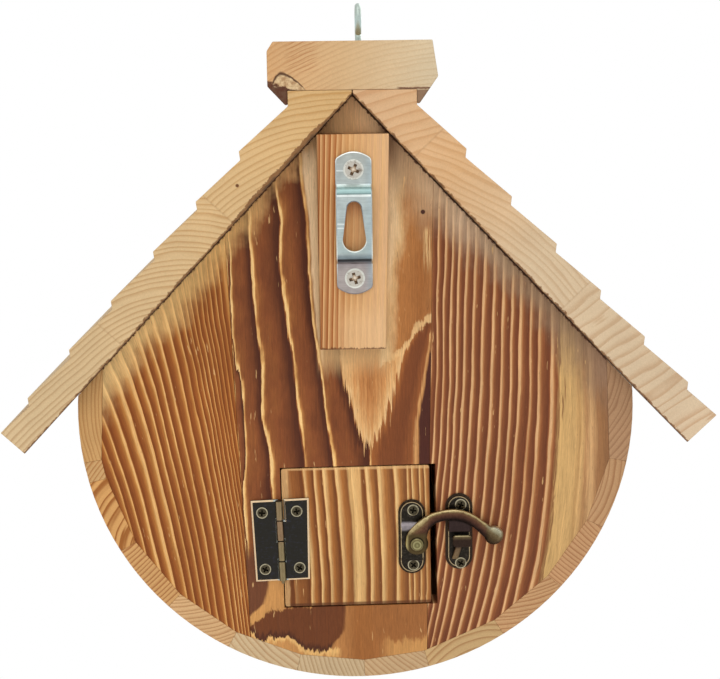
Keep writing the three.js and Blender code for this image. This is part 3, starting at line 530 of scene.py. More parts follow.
def cap_look(x, y, z):
    dark = end_rings(x, z, y, (35, -60), 1.7, 5.0)*through(x, [(-30, 0.5), (-10, 0.5), (0, 0.3), (30, 0.5)])
    pale = shades(ramp(x, -29, 29), (0, 214, 168, 118), (0.45, 214, 178, 132), (1, 214, 194, 160))
    line = shades(ramp(x, -29, 29), (0, 184, 128, 78), (0.5, 194, 150, 104), (1, 196, 168, 130))
    color, roughness, bump = plain_wood(dark, x, y, z, pale, line)
    # At the back end only: strokes of the saw, a knot near the left lip, a crack and a dark lip
    back = share(y, 40, 20)
    stroke = fract((x*0.38 - z*0.92)/1.25 + noise(x*0.1, z*0.1, 1.0)*0.5)
    strokes = near(stroke - 0.5, 0.2, 0.1)*near(x + 17, 7, 3)*share(z, 41, 44)
    torn = noise(x*0.5, z*0.5, 2.0, 3, 0.65)
    knot_top = through(x, [(-27.6, 37), (-26.7, 39.4), (-25.5, 41.2), (-24, 42.1), (-22, 41.4), (-19.5, 39.9),
                           (-17.2, 38), (-16, 36.4)], smooth=True)
    under = knot_top + torn*0.5 - z
    knot = share(x, -27.8, -26.8)*share(x, -15.4, -17.0)*back
    rim = share(size(under), through(x, [(-27, 1.2), (-23, 0.9), (-17, 0.35)]), 0.1)
    knot_foot = through(x, [(-28, 39.4), (-25.5, 38.2), (-22, 37.2), (-18, 36.6)])
    below = share(z + torn*2.5, knot_foot + 0.4, knot_foot - 0.6)*share(x - torn*3, -17.5, -20.5)
    crack = near(z - 36.7 - torn*0.4, 0.5, 0.2)*share(x, 14.5, 16.5)
    right_lip = share(x, 21.6, 22.3)*share(z, 36.4, 35.9)
    knot_tone = blend(share(torn, -0.3, 0.3), (168, 130, 92), (224, 196, 152))
    lip_tone = blend(share(x - (z - 31.5)*0.6, 22, 24), (124, 90, 67), (94, 60, 41))
    color = layered(color, (strokes*back*0.6, (176, 118, 72)), (share(under, 0, 0.4)*knot*0.85, knot_tone),
                    (rim*knot*0.9, (62, 32, 22)), (below*back*0.9, (70, 28, 20)),
                    (larger(crack*0.95, right_lip*0.85)*back, lip_tone))
    return color, roughness, bump


def block_look(x, y, z):
    u = warped(x, z, (0, -45), -0.037, -0.0006, 0.0) + y*0.25 + grain(0.2, 0.1, 0.02)*0.6
    light = through(ring_part(u, BLOCK_LINES), BURNT_RING)
    trough = shades(ramp(x, -12, 10), (0, 144, 75, 27), (0.25, 160, 90, 38), (0.48, 204, 148, 92),
                    (1, 217, 171, 126))
    # Inside the plate's slot the wood is darker and redder, and darker still towards the slot's top as
    # painted shade
    in_slot = near(x, 4.8, 3.6)*share(z, -19.5, -17.5)*share(z, -0.5, -2)
    color = layered(trough, (light*0.9, (224, 176, 120)),
                    (share(z, -34, -46)*share(x, -8, -2)*0.5, (228, 186, 138)),
                    (in_slot*(0.22 + share(z, -9, -2)*0.4), (150, 80, 44)))
    streaks, fine = streaked(x, y, z)
    # Painted shade along the block's ragged foot and down its left side
    ragged = grain(1.1, 0.5, 0.3, 3, 0.7)
    edge = larger(share(z + ragged*1.4, -52.4, -53.0), share(x, -11.9, -12.5)*0.7)
    color = blend(edge*0.8, scaled(color, 1 + streaks*0.2 + fine*0.2), (96, 56, 32))
    return color, 0.6 + streaks*0.1, light*0.04 + streaks*0.04


def stave_look(index, start, end, centre, pitch, strength, pale, line):
    """End grain of a stave, in its own frame: along the arc, and outward."""
    def build(x, y, z):
        middle = radians((start + end)/2)
        dz = z - BARREL_Z
        a = x*sin(middle) + dz*-cos(middle)
        b = x*-cos(middle) + dz*-sin(middle) - BARREL_R
        dark = end_rings(a, b, y, centre, pitch, index*1.7)*strength
        color, roughness, bump = plain_wood(dark, a, y, b, pale, line)
        angle_gap = size(a) - (radians(end - start)/2*BARREL_R - 0.5)
        return blend(share(angle_gap, 0, 0.5)*0.25, color, (120, 80, 48)), roughness, bump
    return build


# Each stave, from the left roof board round to the right: ring centre, ring pitch, strength, tones
STAVES = [
    ((0, -60), 1.3, 0.75, (210, 164, 106), (176, 122, 70)),
    ((30, -30), 1.4, 0.9, (210, 168, 114), (176, 118, 66)),
    ((22, -20), 3.4, 1.0, (220, 166, 102), (158, 96, 44)),
    ((-60, 0), 1.5, 1.0, (212, 164, 106), (166, 108, 62)),
    ((-40, -40), 1.5, 0.9, (216, 175, 126), (178, 129, 84)),
    ((30, -60), 2.0, 0.8, (208, 182, 142), (176, 134, 92)),
    ((60, -30), 1.5, 0.8, (202, 176, 138), (168, 134, 94)),
    ((40, -40), 1.6, 0.75, (199, 167, 126), (168, 124, 82)),
    ((0, 22), 2.4, 0.9, (200, 166, 117), (166, 122, 78)),
    ((30, -60), 1.5, 0.9, (200, 157, 112), (163, 112, 72)),
    ((60, 5), 1.5, 0.9, (199, 154, 110), (161, 110, 72)),
    ((0, -40), 1.7, 0.8, (192, 150, 108), (157, 110, 72)),
    ((20, -50), 1.9, 0.7, (180, 140, 104), (145, 105, 74))]


# Metal

# The latch arm's upper and lower edges, as places from its rivet
ARM_OUTER = [(-4.2, 0.6), (-3.3, 4.1), (0.5, 8.5), (5.3, 11.4), (10.8, 12.7), (14.6, 12.8), (19.5, 11.4),
             (24, 8.4), (27, 6.0)]
ARM_INNER = [(3.5, 0.6), (4.2, 4.4), (6.0, 6.9), (8.2, 8.1), (11.6, 8.75), (15, 8.65), (18.2, 7.5),
             (21.2, 5.3), (24.6, 2.0)]
BALL_X, BALL_Z = 28, 2.7


def metal_look(base, worn, marks=0.3, rough=0.35):
    """Worn metal: blotches of a second tone, fine scratches across."""
    def build(x, y, z):
        scratches, blotches = grain(0.25, 2.0, 5.0, 3, 0.6), mottling(0.7, 4, 0.6)
        color = blend(share(blotches + scratches*0.6, 0.05, 0.55)*marks, base, worn)
        return (scaled(color, 1 + scratches*0.12), rough + blotches*0.12 + scratches*0.08,
                scratches*0.01 + blotches*0.015)
    return build


def eye_look(x, y, z):
    """Zinc wire, with a painted reflection of the cap that brightens it at the eye's foot."""
    color, roughness, bump = metal_look((178, 190, 182), (116, 130, 124), marks=0.6, rough=0.5)(x, y, z)
    return blend(share(z, 66, 60)*share(z, 58.0, 60.0)*0.8, color, (200, 222, 222)), roughness, bump


def zinc_look(x, y, z):
    """Zinc plate: fine scratches across, a few deep ones, and painted shade in its lower bend, which faces
    down.
    """
    scratches, blotches = grain(0.12, 1.0, 7.0, 4, 0.7), mottling(0.3, 3)
    tint = shades(ramp(z, -33, 15), (0, 170, 160, 156), (0.22, 172, 162, 158), (0.3, 172, 186, 184),
                  (0.7, 182, 192, 190), (1, 174, 178, 172))
    lines = [(near(z - height + x*0.03, 0.32, 0.1)*share(x, reach + 1.5, reach)*0.75, (226, 232, 228))
             for height, reach in ((9.0, -2.5), (-9.0, -3.2), (-10.4, -3.0))]
    # The last three: the upper ramp painted darker and greener as a reflection, a painted highlight along
    # each bend
    # The second to fourth: painted shade on the lower bend, a dark core, blue-grey above it and purplish
    # below
    color = layered(tint, (share(x, 3, 6)*0.5, (166, 184, 190)),
                    (share(z, -18.6, -20.6)*share(z, -22.6, -21.8)*0.7, (92, 114, 124)),
                    (share(z, -25.5, -22.0)*share(z, -20.8, -21.8)*0.4, (104, 98, 112)),
                    (near(z + 21.4 + scratches*0.3, 0.75, 0.2)*0.9, (48, 50, 54)), *lines,
                    (near(z - 2.6, 1.7, 1.2)*0.8, (104, 134, 132)),
                    (near(z - 3.95, 0.42, 0.15)*0.85, (184, 198, 194)),
                    (near(z - 0.8, 0.5, 0.25)*0.85, (240, 248, 244)))
    return (scaled(color, 1 + scratches*0.42 + blotches*0.3), 0.34 + scratches*0.1 + blotches*0.1,
            scratches*0.012)


def zinc_rim_look(x, y, z):
    """The plate's cut edges: painted highlights at the top end and round the slot's foot, dull elsewhere."""
    blotches = mottling(0.9, 3)
    # Painted shade towards the plate's foot end
    color = shades(ramp(z, -34, 16), (0, 118, 112, 110), (0.06, 150, 146, 146), (0.3, 226, 232, 224),
                   (0.38, 214, 220, 212), (0.46, 168, 178, 178), (0.9, 186, 196, 194), (0.95, 236, 240, 234))
    # Painted shade at the slot's top
    slot_top = near(x, 4.2, 3.4)*share(z, -11, -7)*share(z, 1, -0.5)
    color = blend(slot_top*0.8, color, (110, 110, 112))
    return scaled(color, 1 + blotches*0.3), 0.4 + blotches*0.1, blotches*0.02


def arm_look(x, y, z):
    """Cast bronze with painted light and shade: brassy along the worn upper edge, dark under the arm and on
    the lobe.
    """
    across, up = x - RIVET_X, z - RIVET_Z
    top = through(across, [(-4.2, 1.0)] + ARM_OUTER[1:], smooth=True)
    foot = through(across, [(-4.2, -6)] + ARM_INNER, smooth=True)
    mottled, speckle = mottling(0.8, 4, 0.65), mottling(3.2, 3, 0.7)
    # Across the arm: a painted highlight towards its worn upper edge, painted shade towards its lower edge
    color = shades(ramp(up, foot, top) + mottled*0.12, (0, 22, 16, 14), (0.22, 44, 30, 26),
                   (0.48, 78, 52, 41), (0.66, 100, 70, 52), (0.78, 112, 88, 60), (0.88, 176, 156, 110),
                   (0.95, 206, 190, 142), (1, 140, 122, 84))
    hub = shades(share(across, -2.7, -4.0), (0, 80, 66, 42), (1, 178, 164, 112))
    # On the ball: a painted highlight at its upper right, painted shade at its lower left
    lit = ramp((across - BALL_X)*0.6 + (up - BALL_Z)*0.8, -3.2, 3.4)
    ball = shades(lit + mottled*0.1, (0, 36, 28, 20), (0.35, 78, 62, 42), (0.6, 112, 96, 68),
                  (0.82, 164, 160, 132), (1, 206, 210, 188))
    below = share(up, foot + 0.2, foot - 0.7)*share(across, 5.5, 8)*share(across, 24, 22)
    color = layered(color, (share(across, 4.5, 2.5)*share(up, 5, 3), hub), (share(across, 24.4, 26.2), ball),
                    (below, (56, 44, 42)), (share(mottled + speckle*0.5, 0.15, 0.6)*0.35, (56, 44, 38)))
    return (scaled(color, 1 + speckle*0.4 + mottled*0.35), 0.36 + mottled*0.2,
            mottled*0.08 + speckle*0.02)


def recess_look(x, y, z):
    """Cross recess of the hanger's two screws: painted highlight in the middle, painted shade out in its
    arms.
    """
    middle, half = sum(HANGER_SCREW_Z)/2, (HANGER_SCREW_Z[0] - HANGER_SCREW_Z[1])/2
    away = distance(x, size(z - middle) - half) + mottling(1.2, 3)*0.5
    color = shades(ramp(away, 0, 2.4), (0, 250, 238, 218), (0.3, 206, 186, 162), (0.5, 170, 148, 124),
                   (1, 124, 104, 88))
    return color, 0.4 + away*0.05, away*0.02


def rivet_look(x, y, z):
    """Rivet head with painted rings of highlight and shade, and painted shade at its edge."""
    speckle = mottling(2.5, 3, 0.6)
    color = shades(distance(x - RIVET_X, z - RIVET_Z)/2.7, (0, 150, 144, 100), (0.3, 104, 96, 62),
                   (0.5, 160, 152, 108), (0.66, 96, 86, 56), (0.8, 138, 128, 88), (0.93, 32, 26, 20))
    return scaled(color, 1 + speckle*0.35), 0.34 + speckle*0.1, speckle*0.03


def from_hinge(x, z):
    """Place across and up from the middle of the hinge, which leans a little."""
    up = z - HINGE_Z
    return x - HINGE_X + up*HINGE_LEAN, up


def knuckle_look(x, y, z):
    """Brass knuckles with painted light and shade across each, a dark line at each joint and a dark pin end.
    """
    across, up = from_hinge(x, z)
    blotches = grain(0.8, 0.8, 0.35, 3, 0.6)
    # Painted highlight along each knuckle's front, painted shade at its sides
    color = shades(ramp(across + blotches*0.5, -1.4, 1.4), (0, 76, 62, 46), (0.22, 150, 134, 106),
                   (0.5, 134, 116, 90), (0.75, 146, 130, 102), (1, 52, 42, 32))
    hue = shades(ramp(up, -15, 15), (0, 248, 250, 232), (0.45, 250, 250, 232), (0.52, 255, 234, 226),
                 (0.73, 255, 232, 226), (0.8, 255, 248, 234))
    joints = larger(larger(near(up - 7.7, 0.34, 0.12), near(up, 0.3, 0.1)), near(up + 7.7, 0.34, 0.12))
    color = blend(larger(joints, share(up, 14.7, 15.0))*0.9, blend(0.8, color, hue, "MULTIPLY"), (30, 26, 18))
    return scaled(color, 1 + blotches*0.35), 0.36 + blotches*0.15, blotches*0.02


def plate_look(x, y, z):
    """Dark bronze plate, with a painted highlight where its upper bend faces up."""
    mottled = mottling(0.9, 4, 0.65)
    color = blend(share(mottled, 0.0, 0.45)*0.6, (42, 38, 33), (88, 78, 68))
    color = blend(near(z + 120.8, 1.9, 0.9)*share(x, 26, 24)*0.8, color, (144, 136, 138))
    return scaled(color, 1 + mottled*0.4), 0.36 + mottled*0.15, mottled*0.03


def leaf_rim_look(x, y, z):
    """Edge of a hinge leaf: rubbed bright outside, silvery beside the knuckles."""
    across, _ = from_hinge(x, z)
    blotches = mottling(0.5, 3, 0.6)
    color = blend(share(blotches, 0.0, 0.5)*0.5, (228, 200, 162), (186, 150, 108))
    color = blend(near(across, 2.3, 1.7), color, (180, 188, 182))
    return scaled(color, 1 + blotches*0.3), 0.42 + blotches*0.1, blotches*0.02


def hook_look(x, y, z):
    """The catch's hook, with a painted highlight along its upper edge."""
    mottled = mottling(1.4, 4, 0.65)
    color = shades(ramp(z - KEEPER_Z, -10, 0), (0, 134, 114, 84), (0.45, 106, 86, 64), (0.56, 52, 40, 34),
                   (0.82, 54, 41, 34), (0.93, 96, 80, 58), (1, 180, 166, 124))
    return scaled(color, 1 + mottled*0.5), 0.38 + mottled*0.2, mottled*0.05


METALS = {
    "zinc": zinc_look, "zinc_rim": zinc_rim_look, "zinc_wire": eye_look,
    "nickel": metal_look((196, 190, 178), (126, 112, 98), marks=0.9),
    "nickel_rim": metal_look((214, 214, 204), (150, 142, 128), marks=0.9),
    "nickel_recess": recess_look,
    "bronze_screw": metal_look((74, 67, 52), (118, 108, 84), marks=0.7),
    "bronze_screw_rim": metal_look((172, 163, 136), (80, 70, 56), marks=1.0),
    "bronze_recess": metal_look((30, 26, 18), (20, 18, 14)),
    "dark_bronze": plate_look, "hook_bronze": hook_look,
    "worn_line": metal_look((196, 174, 134), (100, 82, 62), marks=0.9),
    "bronze_skirt": metal_look((52, 42, 34), (92, 78, 60), marks=0.7),
    "dark_bronze_leaf": metal_look((47, 45, 41), (58, 58, 70), marks=0.7),
    "worn_edge": leaf_rim_look, "brassy_knuckle": knuckle_look, "brassy_bronze": arm_look,
    "brassy_rivet": rivet_look}


@functools.cache
def metal_material(name):
    return material(name, METALS[name], Metallic=1.0)


# Pieces

# A board's edges that are rounded: how long they are at least, in millimetres, and how far they turn
LONG_EDGE, SHARP_TURN = 1.3, radians(22)

# How far the dressed boards stay off: to either side of a glued joint, and an end's rim from its staves
HALF_JOINT, RIM_GAP = 0.04, 0.03

# How far the roof boards' heads move towards the cap, and what share of the way to its joints a stave's
# sides move
HEAD_SHIFT, SIDE_SHARE = 0.22, 0.85


def as_mesh(name, work):
    mesh = bpy.data.meshes.new(name)
    work.to_mesh(mesh)
    work.free()
    return mesh


def piece(name, node, work, materials, body):
    mesh = as_mesh(name, work)
    for one in materials:
        mesh.materials.append(one)
    made = linked(name, mesh)
    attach(made, body)
    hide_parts(node)
    return mesh


def bevelled(work, edges, width, segments, clamp=False):
    bmesh.ops.bevel(work, geom=edges, offset=width*MM, segments=segments, profile=0.5, affect="EDGES",
                    clamp_overlap=clamp)


def board(node, look_name, look, body="root", edge=0.35, shaped=None):
    """A board or block of wood: its solid, moved a little by shaped, with its long edges rounded."""
    work = bmesh.new()
    work.from_mesh(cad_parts[node].data)
    bmesh.ops.remove_doubles(work, verts=work.verts, dist=1e-6)
    bmesh.ops.dissolve_limit(work, angle_limit=radians(0.5), verts=work.verts, edges=work.edges)
    if shaped:
        shaped(work)
    sharp = [e for e in work.edges if len(e.link_faces) == 2 and e.calc_length() > LONG_EDGE*MM
             and e.calc_face_angle(0) > SHARP_TURN]
    bevelled(work, sharp, edge, 2, clamp=True)
    piece(node + "_wood", node, work, [material(look_name, look)], body)


def round_barrel(vert):
    """Where a vertex is across and up from the barrel's axis, and its angle from the left, down and round."""
    across, up = vert.co.x/MM, vert.co.z/MM - BARREL_Z
    angle = degrees(atan2(-up, -across)) % 360
    return across, up, angle - 360 if angle > 300 else angle


def closed_to_staves(work):
    """Moves an end's rim out to the staves that it is glued to, and its boards up to each other."""
    for vert in work.verts:
        below = (APEX_Z - vert.co.z/MM)/END_HEIGHT
        for top, shift in BOARD_JOINTS:
            line = top + shift*below
            off = vert.co.x/MM - line
            if abs(off) < 0.3:
                vert.co.x = (line + copysign(HALF_JOINT, off))*MM
        across, up, angle = round_barrel(vert)
        for start, end in zip(STAVE_JOINTS, STAVE_JOINTS[1:]):
            if start <= angle <= end:
                middle = radians((start + end)/2)
                out = Vector((-cos(middle), 0, -sin(middle)))
                gap = INNER_R*cos(radians(end - start)/2) - (across*out.x + up*out.z)
                if 0 < gap < 0.45:
                    vert.co += out*(gap - RIM_GAP)*MM
                break


def closed_joints(work, start, end):
    """Moves a stave's side faces up to the next staves."""
    for vert in work.verts:
        across, up, angle = round_barrel(vert)
        for joint in (start, end):
            off = joint - angle
            if abs(off) < 0.16:
                moved = turned(-off*SIDE_SHARE, "Y", 3) @ Vector((across, 0, up))
                vert.co.x, vert.co.z = moved.x*MM, (moved.z + BARREL_Z)*MM


def widened_door(work):
    """Moves the door's hinge side, foot and top nearer to the opening's edges, as photographed."""
    for vert in work.verts:
        if vert.co.x < -20*MM:
            vert.co.x -= 0.3*MM
        if vert.co.z < -140*MM:
            vert.co.z -= 0.2*MM
        if vert.co.z > -110*MM:
            vert.co.z += 0.3*MM


def closed_to_cap(work):
    """Moves a roof board's head up to the channel of the cap that is glued over it."""
    top = max(vert.co.z for vert in work.verts)
    for vert in work.verts:
        below = top - vert.co.z
        if below < 5.5*MM and abs(abs(vert.co.x) - 21.8*MM) < 0.05*MM:
            vert.co.x += copysign(HEAD_SHIFT*MM, vert.co.x)
        if below < 0.05*MM:
            vert.co.z += HEAD_SHIFT*MM


def add_boards():
    for end, which, look in (("back", "left", left_board), ("back", "middle", middle_board),
                             ("back", "right", right_board),
                             ("front", "left", front_board((-66, -90), 4.6, (214, 164, 110))),
                             ("front", "middle", front_board((-6, -60), 6.2, (210, 158, 104))),
                             ("front", "right", front_board((58, -80), 3.9, (214, 166, 116)))):
        look_name = f"burnt_pine_{which}" if end == "back" else f"burnt_pine_front_{which}"
        board(f"{end}_panel_{which}_board", look_name, look, edge=0.12, shaped=closed_to_staves)
    board("door", "burnt_pine_door", door_board, "door_body", edge=0.7, shaped=widened_door)
    for i, (start, end, given) in enumerate(zip(STAVE_JOINTS, STAVE_JOINTS[1:], STAVES)):
        closed = functools.partial(closed_joints, start=start, end=end)
        board(f"stave_{i + 1:02d}", f"stave_pine_{i + 1:02d}", stave_look(i, start, end, *given),
              edge=0.1, shaped=closed)
    for label, given in ROOFS.items():
        look = roof_look(*given)
        board(f"roof_board_{label}", f"roof_pine_{label}", look, shaped=closed_to_cap)
    board("ridge_cap", "roof_pine_cap", cap_look, edge=0.4)
    board("hanger_block", "honey_pine", block_look, edge=0.5)


# Fittings: each is made about the origin in millimetres of its own frame, facing -Y, and moved to its spot

def spot(x, y, z, lean=0.0):
    return Matrix.Translation(Vector((x, y, z))*MM) @ turned(lean, "Y")


HINGE_SPOT = spot(HINGE_X, 15.2, HINGE_Z, -1.9)
BASE_SPOT = spot(19.65, 16.5, -125.05)
RIVET_SPOT = spot(RIVET_X, 16.5, RIVET_Z)
KEEPER_SPOT = spot(36.9, 16.5, KEEPER_Z)
HANGER_SPOT = spot(0, 4.5, 0)
EYE_SPOT = spot(3.7, 84.7, 52.8)

# Knuckles: how far the hinge's leaves reach up and down, and how tall each knuckle is with its gap
HINGE_HALF, KNUCKLE_PITCH = 15.3, 7.65


def metal(node, work, where, looks, body="root", smooth=35):
    """A fitting's piece, shaded smooth except over edges that turn by more than the given degrees."""
    work.transform(where)
    mesh = piece(node + "_metal", node, work, [metal_material(name) for name in looks], body)
    mesh.polygons.foreach_set("use_smooth", [True]*len(mesh.polygons))
    mesh.set_sharp_from_angle(angle=radians(smooth))


def bridged(work, rings):
    """Faces from each ring of vertices to the next. A ring of one vertex is a point."""
    for a, b in zip(rings, rings[1:]):
        for k in range(max(len(a), len(b))):
            corners = [a[k % len(a)], a[(k + 1) % len(a)], b[(k + 1) % len(b)], b[k % len(b)]]
            work.faces.new(list(dict.fromkeys(corners)))


def spun(outline, sides=48):
    """Closed form turned round the Y axis, from its outline as radius and Y."""
    work, rings = bmesh.new(), []
    for radius, y in outline:
        count = sides if radius > 0 else 1
        turns = [2*pi*k/count for k in range(count)]
        rings.append([work.verts.new(Vector((radius*cos(t), y, radius*sin(t)))*MM) for t in turns])
    bridged(work, rings)
    bmesh.ops.recalc_face_normals(work, faces=work.faces)
    return work


def marked(work, index):
    """A mesh, with one of the piece's materials on all its faces."""
    for face in work.faces:
        face.material_index = index
    return work


def add_form(work, form, where=Matrix()):
    form.transform(where)
    mesh = as_mesh("form", form)
    work.from_mesh(mesh)
    bpy.data.meshes.remove(mesh)


def as_object(work):
    mesh = as_mesh("work", work)
    for _ in range(4):
        mesh.materials.append(None)
    return linked("work", mesh)


def finished(made, *others):
    """The mesh that a curve or an object's modifiers make, with the helper objects taken away again."""
    mesh = bpy.data.meshes.new_from_object(made.evaluated_get(bpy.context.evaluated_depsgraph_get()))
    work = bmesh.new()
    work.from_mesh(mesh)
    bpy.data.meshes.remove(mesh)
    for one in (made, *others):
        data, kind = one.data, bpy.data.curves if one.type == "CURVE" else bpy.data.meshes
        bpy.data.objects.remove(one)
        kind.remove(data)
    return work


def cut(work, cutter):
    made, tool = as_object(work), as_object(cutter)
    step = made.modifiers.new("cut", "BOOLEAN")
    step.operation, step.solver, step.object = "DIFFERENCE", "EXACT", tool
    return finished(made, tool)


def drawn(lines, closed, **settings):
    """The mesh that a curve makes from lines of points."""
    curve = bpy.data.curves.new("drawn", "CURVE")
    for name, value in settings.items():
        setattr(curve, name, value)
    for line in lines:
        spline = curve.splines.new("POLY")
        spline.points.add(len(line) - 1)
        spline.use_cyclic_u = closed
        for point, at in zip(spline.points, line):
            point.co = (*(c*MM for c in at), 1)
    return finished(linked("drawn", curve))


def screw_head(radius, rim, depth, shank, length, point, dome):
    """Wood screw with a slightly domed head at y = 0, a worn rim and a dark cross recess."""
    lip = radius*0.94

    def crown_height(away):
        return -dome*(1 - (away/lip)**2)

    crown = [(lip*part, crown_height(lip*part)) for part in (0, 0.2, 0.4, 0.6, 0.74, 0.88, 1)]
    work = spun(crown + [(radius, rim*0.4), (radius, rim), (shank, depth), (shank, length - point),
                         (0, length)])
    span, slit = radius*1.4, radius*0.34
    for turn in (0, 90):
        bar = bmesh.new()
        for vert in bmesh.ops.create_cube(bar, size=1.0)["verts"]:
            deep = vert.co.y > 0
            across = vert.co.x*span*(0.45 if deep else 1.0)
            over = vert.co.z*slit*(0.7 if deep else 1.0)
            vert.co = Vector((across, depth*0.62 if deep else -dome - 0.5, over))*MM
        bar.transform(turned(turn, "Y"))
        work = cut(work, bar)
    for face in work.faces:
        middle = face.calc_center_median()/MM
        away = hypot(middle.x, middle.z)
        if away > lip*0.88:
            face.material_index = 1
        elif crown_height(away) + 0.04 < middle.y < depth:
            face.material_index = 2
    return work


# Kinds of screw: size, materials and slot
LARGE_SCREW = (dict(radius=3.5, rim=0.3, depth=2, shank=1.7, length=17.5, point=4, dome=0.35),
               ("nickel", "nickel_rim", "nickel_recess"), "nickel")
SMALL_SCREW = (dict(radius=2.1, rim=0.2, depth=1.1, shank=1, length=8.5, point=2, dome=0.2),
               ("bronze_screw", "bronze_screw_rim", "bronze_recess"), "dark_bronze")

# Pairs of screws: node, kind, body, frame, how far back the heads' faces are in it, and for the upper and the
# lower one where it is across and up and how far its cross is turned
SCREWS = [
    ("hanger_screw", LARGE_SCREW, "root", HANGER_SPOT, -1.8, (0, HANGER_SCREW_Z[0], 24),
     (0, HANGER_SCREW_Z[1], -16)),
    ("hinge_screw_fixed", SMALL_SCREW, "root", HINGE_SPOT, 0.2, (-6.3, 10.7, 8), (-6.3, -10.7, 28)),
    ("hinge_screw_door", SMALL_SCREW, "door_body", HINGE_SPOT, 0.2, (6.3, 10.7, -10), (6.3, -10.7, 36)),
    ("latch_screw", SMALL_SCREW, "door_body", BASE_SPOT, -1.2, (0.5, 10.1, 12), (0.5, -10.6, 40)),
    ("catch_screw", SMALL_SCREW, "root", KEEPER_SPOT, -1.2, (0.6, 10.2, 20), (0.6, -11.9, 32))]


def add_screws():
    for name, (given, looks, slot), body, where, y, *pair in SCREWS:
        for end, (x, z, turn) in zip(("upper", "lower"), pair):
            place = where @ spot(x, y, z, turn)
            metal(f"{name}_{end}", screw_head(**given), place, looks, body, smooth=28)


def arc(cx, cz, radius, start, end, count):
    angles = [radians(start + (end - start)*k/count) for k in range(count + 1)]
    return [(cx + radius*cos(a), cz + radius*sin(a)) for a in angles]


def hole(x, z, radius, count=24):
    return arc(x, z, radius, 0, 360 - 360/count, count - 1)


def stadium(width, height, steps=1):
    """A plate's outline with round ends, its straight sides in so many steps."""
    half, straight = width/2, (height - width)/2
    side = [straight*(1 - 2*k/steps) for k in range(1, steps)]
    upper = arc(0, straight, half, 0, 180, 16) + [(-half, z) for z in side]
    return upper + arc(0, -straight, half, 180, 360, 16) + [(half, -z) for z in side]


def flat(z):
    return 0.0


def bend(z, upper, lower, ramp_height, height):
    """Height of a stamped strip: 0 on its flats, raised between upper and lower, with soft bends."""
    rise = min((upper + ramp_height - z)/ramp_height, (z - lower + ramp_height)/ramp_height)
    rise = max(0.0, min(1.0, rise))
    return height*(0.5*rise + 0.5*rise*rise*(3 - 2*rise))


def levels(*spans):
    return [start + (end - start)*k/10 for start, end in spans for k in range(11)]


def stamped(loops, sheet, raised, cuts=()):
    """A plate of even thickness between an outline and its holes. Its height above y = 0 follows raised(z).
    It is cut at some heights so that it can bend there."""
    work = drawn([[(x, z, 0) for x, z in loop] for loop in loops], True, dimensions="2D", fill_mode="BOTH")
    bmesh.ops.remove_doubles(work, verts=work.verts, dist=1e-7)
    work.transform(turned(90, "X"))
    for z in cuts:
        bmesh.ops.bisect_plane(work, geom=[*work.verts, *work.edges, *work.faces], dist=1e-7,
                               plane_co=(0, 0, z*MM), plane_no=(0, 0, 1))
    bmesh.ops.dissolve_degenerate(work, edges=work.edges, dist=0.02*MM)
    grown = bmesh.ops.extrude_face_region(work, geom=list(work.faces))["geom"]
    front = {v for v in grown if isinstance(v, bmesh.types.BMVert)}
    for vert in work.verts:
        z = vert.co.z/MM
        slope = (raised(z + 0.01) - raised(z - 0.01))/0.02
        vert.co.y = -raised(z)*MM
        if vert in front:
            vert.co += Vector((0, -1, -slope)).normalized()*sheet*MM
    bmesh.ops.recalc_face_normals(work, faces=work.faces)
    return work, [f for f in grown if isinstance(f, bmesh.types.BMFace)]


def framed(work, front, holes, width, back):
    """A narrow band along a plate's front edges, but not round its screw holes, that slopes back."""
    inside, plugs = set(front), []
    for x, z, radius in holes:
        rim = [e for e in work.edges if sum(f in inside for f in e.link_faces) == 1
               and all(hypot(v.co.x/MM - x, v.co.z/MM - z) < radius + 0.1 for v in e.verts)]
        plugs += bmesh.ops.edgeloop_fill(work, edges=rim)["faces"]
    band = bmesh.ops.inset_region(work, faces=front + plugs, thickness=width*MM, use_even_offset=True,
                                  use_boundary=True)["faces"]
    for face in band:
        face.material_index = 1
    for vert in {v for f in band for v in f.verts} - {v for f in front for v in f.verts}:
        vert.co.y += back*MM
    bmesh.ops.delete(work, geom=plugs, context="FACES_ONLY")


def ridge(outline, raised, sheet):
    """A low closed ridge that stands on a plate's face, along an outline."""
    work, rings = bmesh.new(), []
    for before, (x, z), after in zip(outline[-1:] + outline, outline, outline[1:] + outline[:1]):
        along = Vector((after[0] - before[0], after[1] - before[1])).normalized()
        section = ((-0.2, -0.15), (-0.1, 0.12), (0.1, 0.12), (0.2, -0.15))
        places = [(x + along.y*out, -raised(z) - sheet - high, z - along.x*out) for out, high in section]
        rings.append([work.verts.new(Vector(at)*MM) for at in places])
    bridged(work, rings + rings[:1])
    bmesh.ops.recalc_face_normals(work, faces=work.faces)
    return marked(work, 1)


def latch_plate(width, height, band, holes, raised, *spans):
    """A pressed plate: its thin skirt, the thicker face inside that, and a worn ridge round the face."""
    rounds = [hole(*h) for h in holes]
    work, _ = stamped([stadium(width, height)] + rounds, 0.55, raised, levels(*spans))
    inner = stadium(width - 2*band, height - 2*band, steps=48)
    face_part, _ = stamped([inner] + rounds, 0.7, lambda z: raised(z) + 0.3, levels(*spans))
    add_form(marked(work, 2), face_part)
    add_form(work, ridge(inner, raised, 1))
    return work


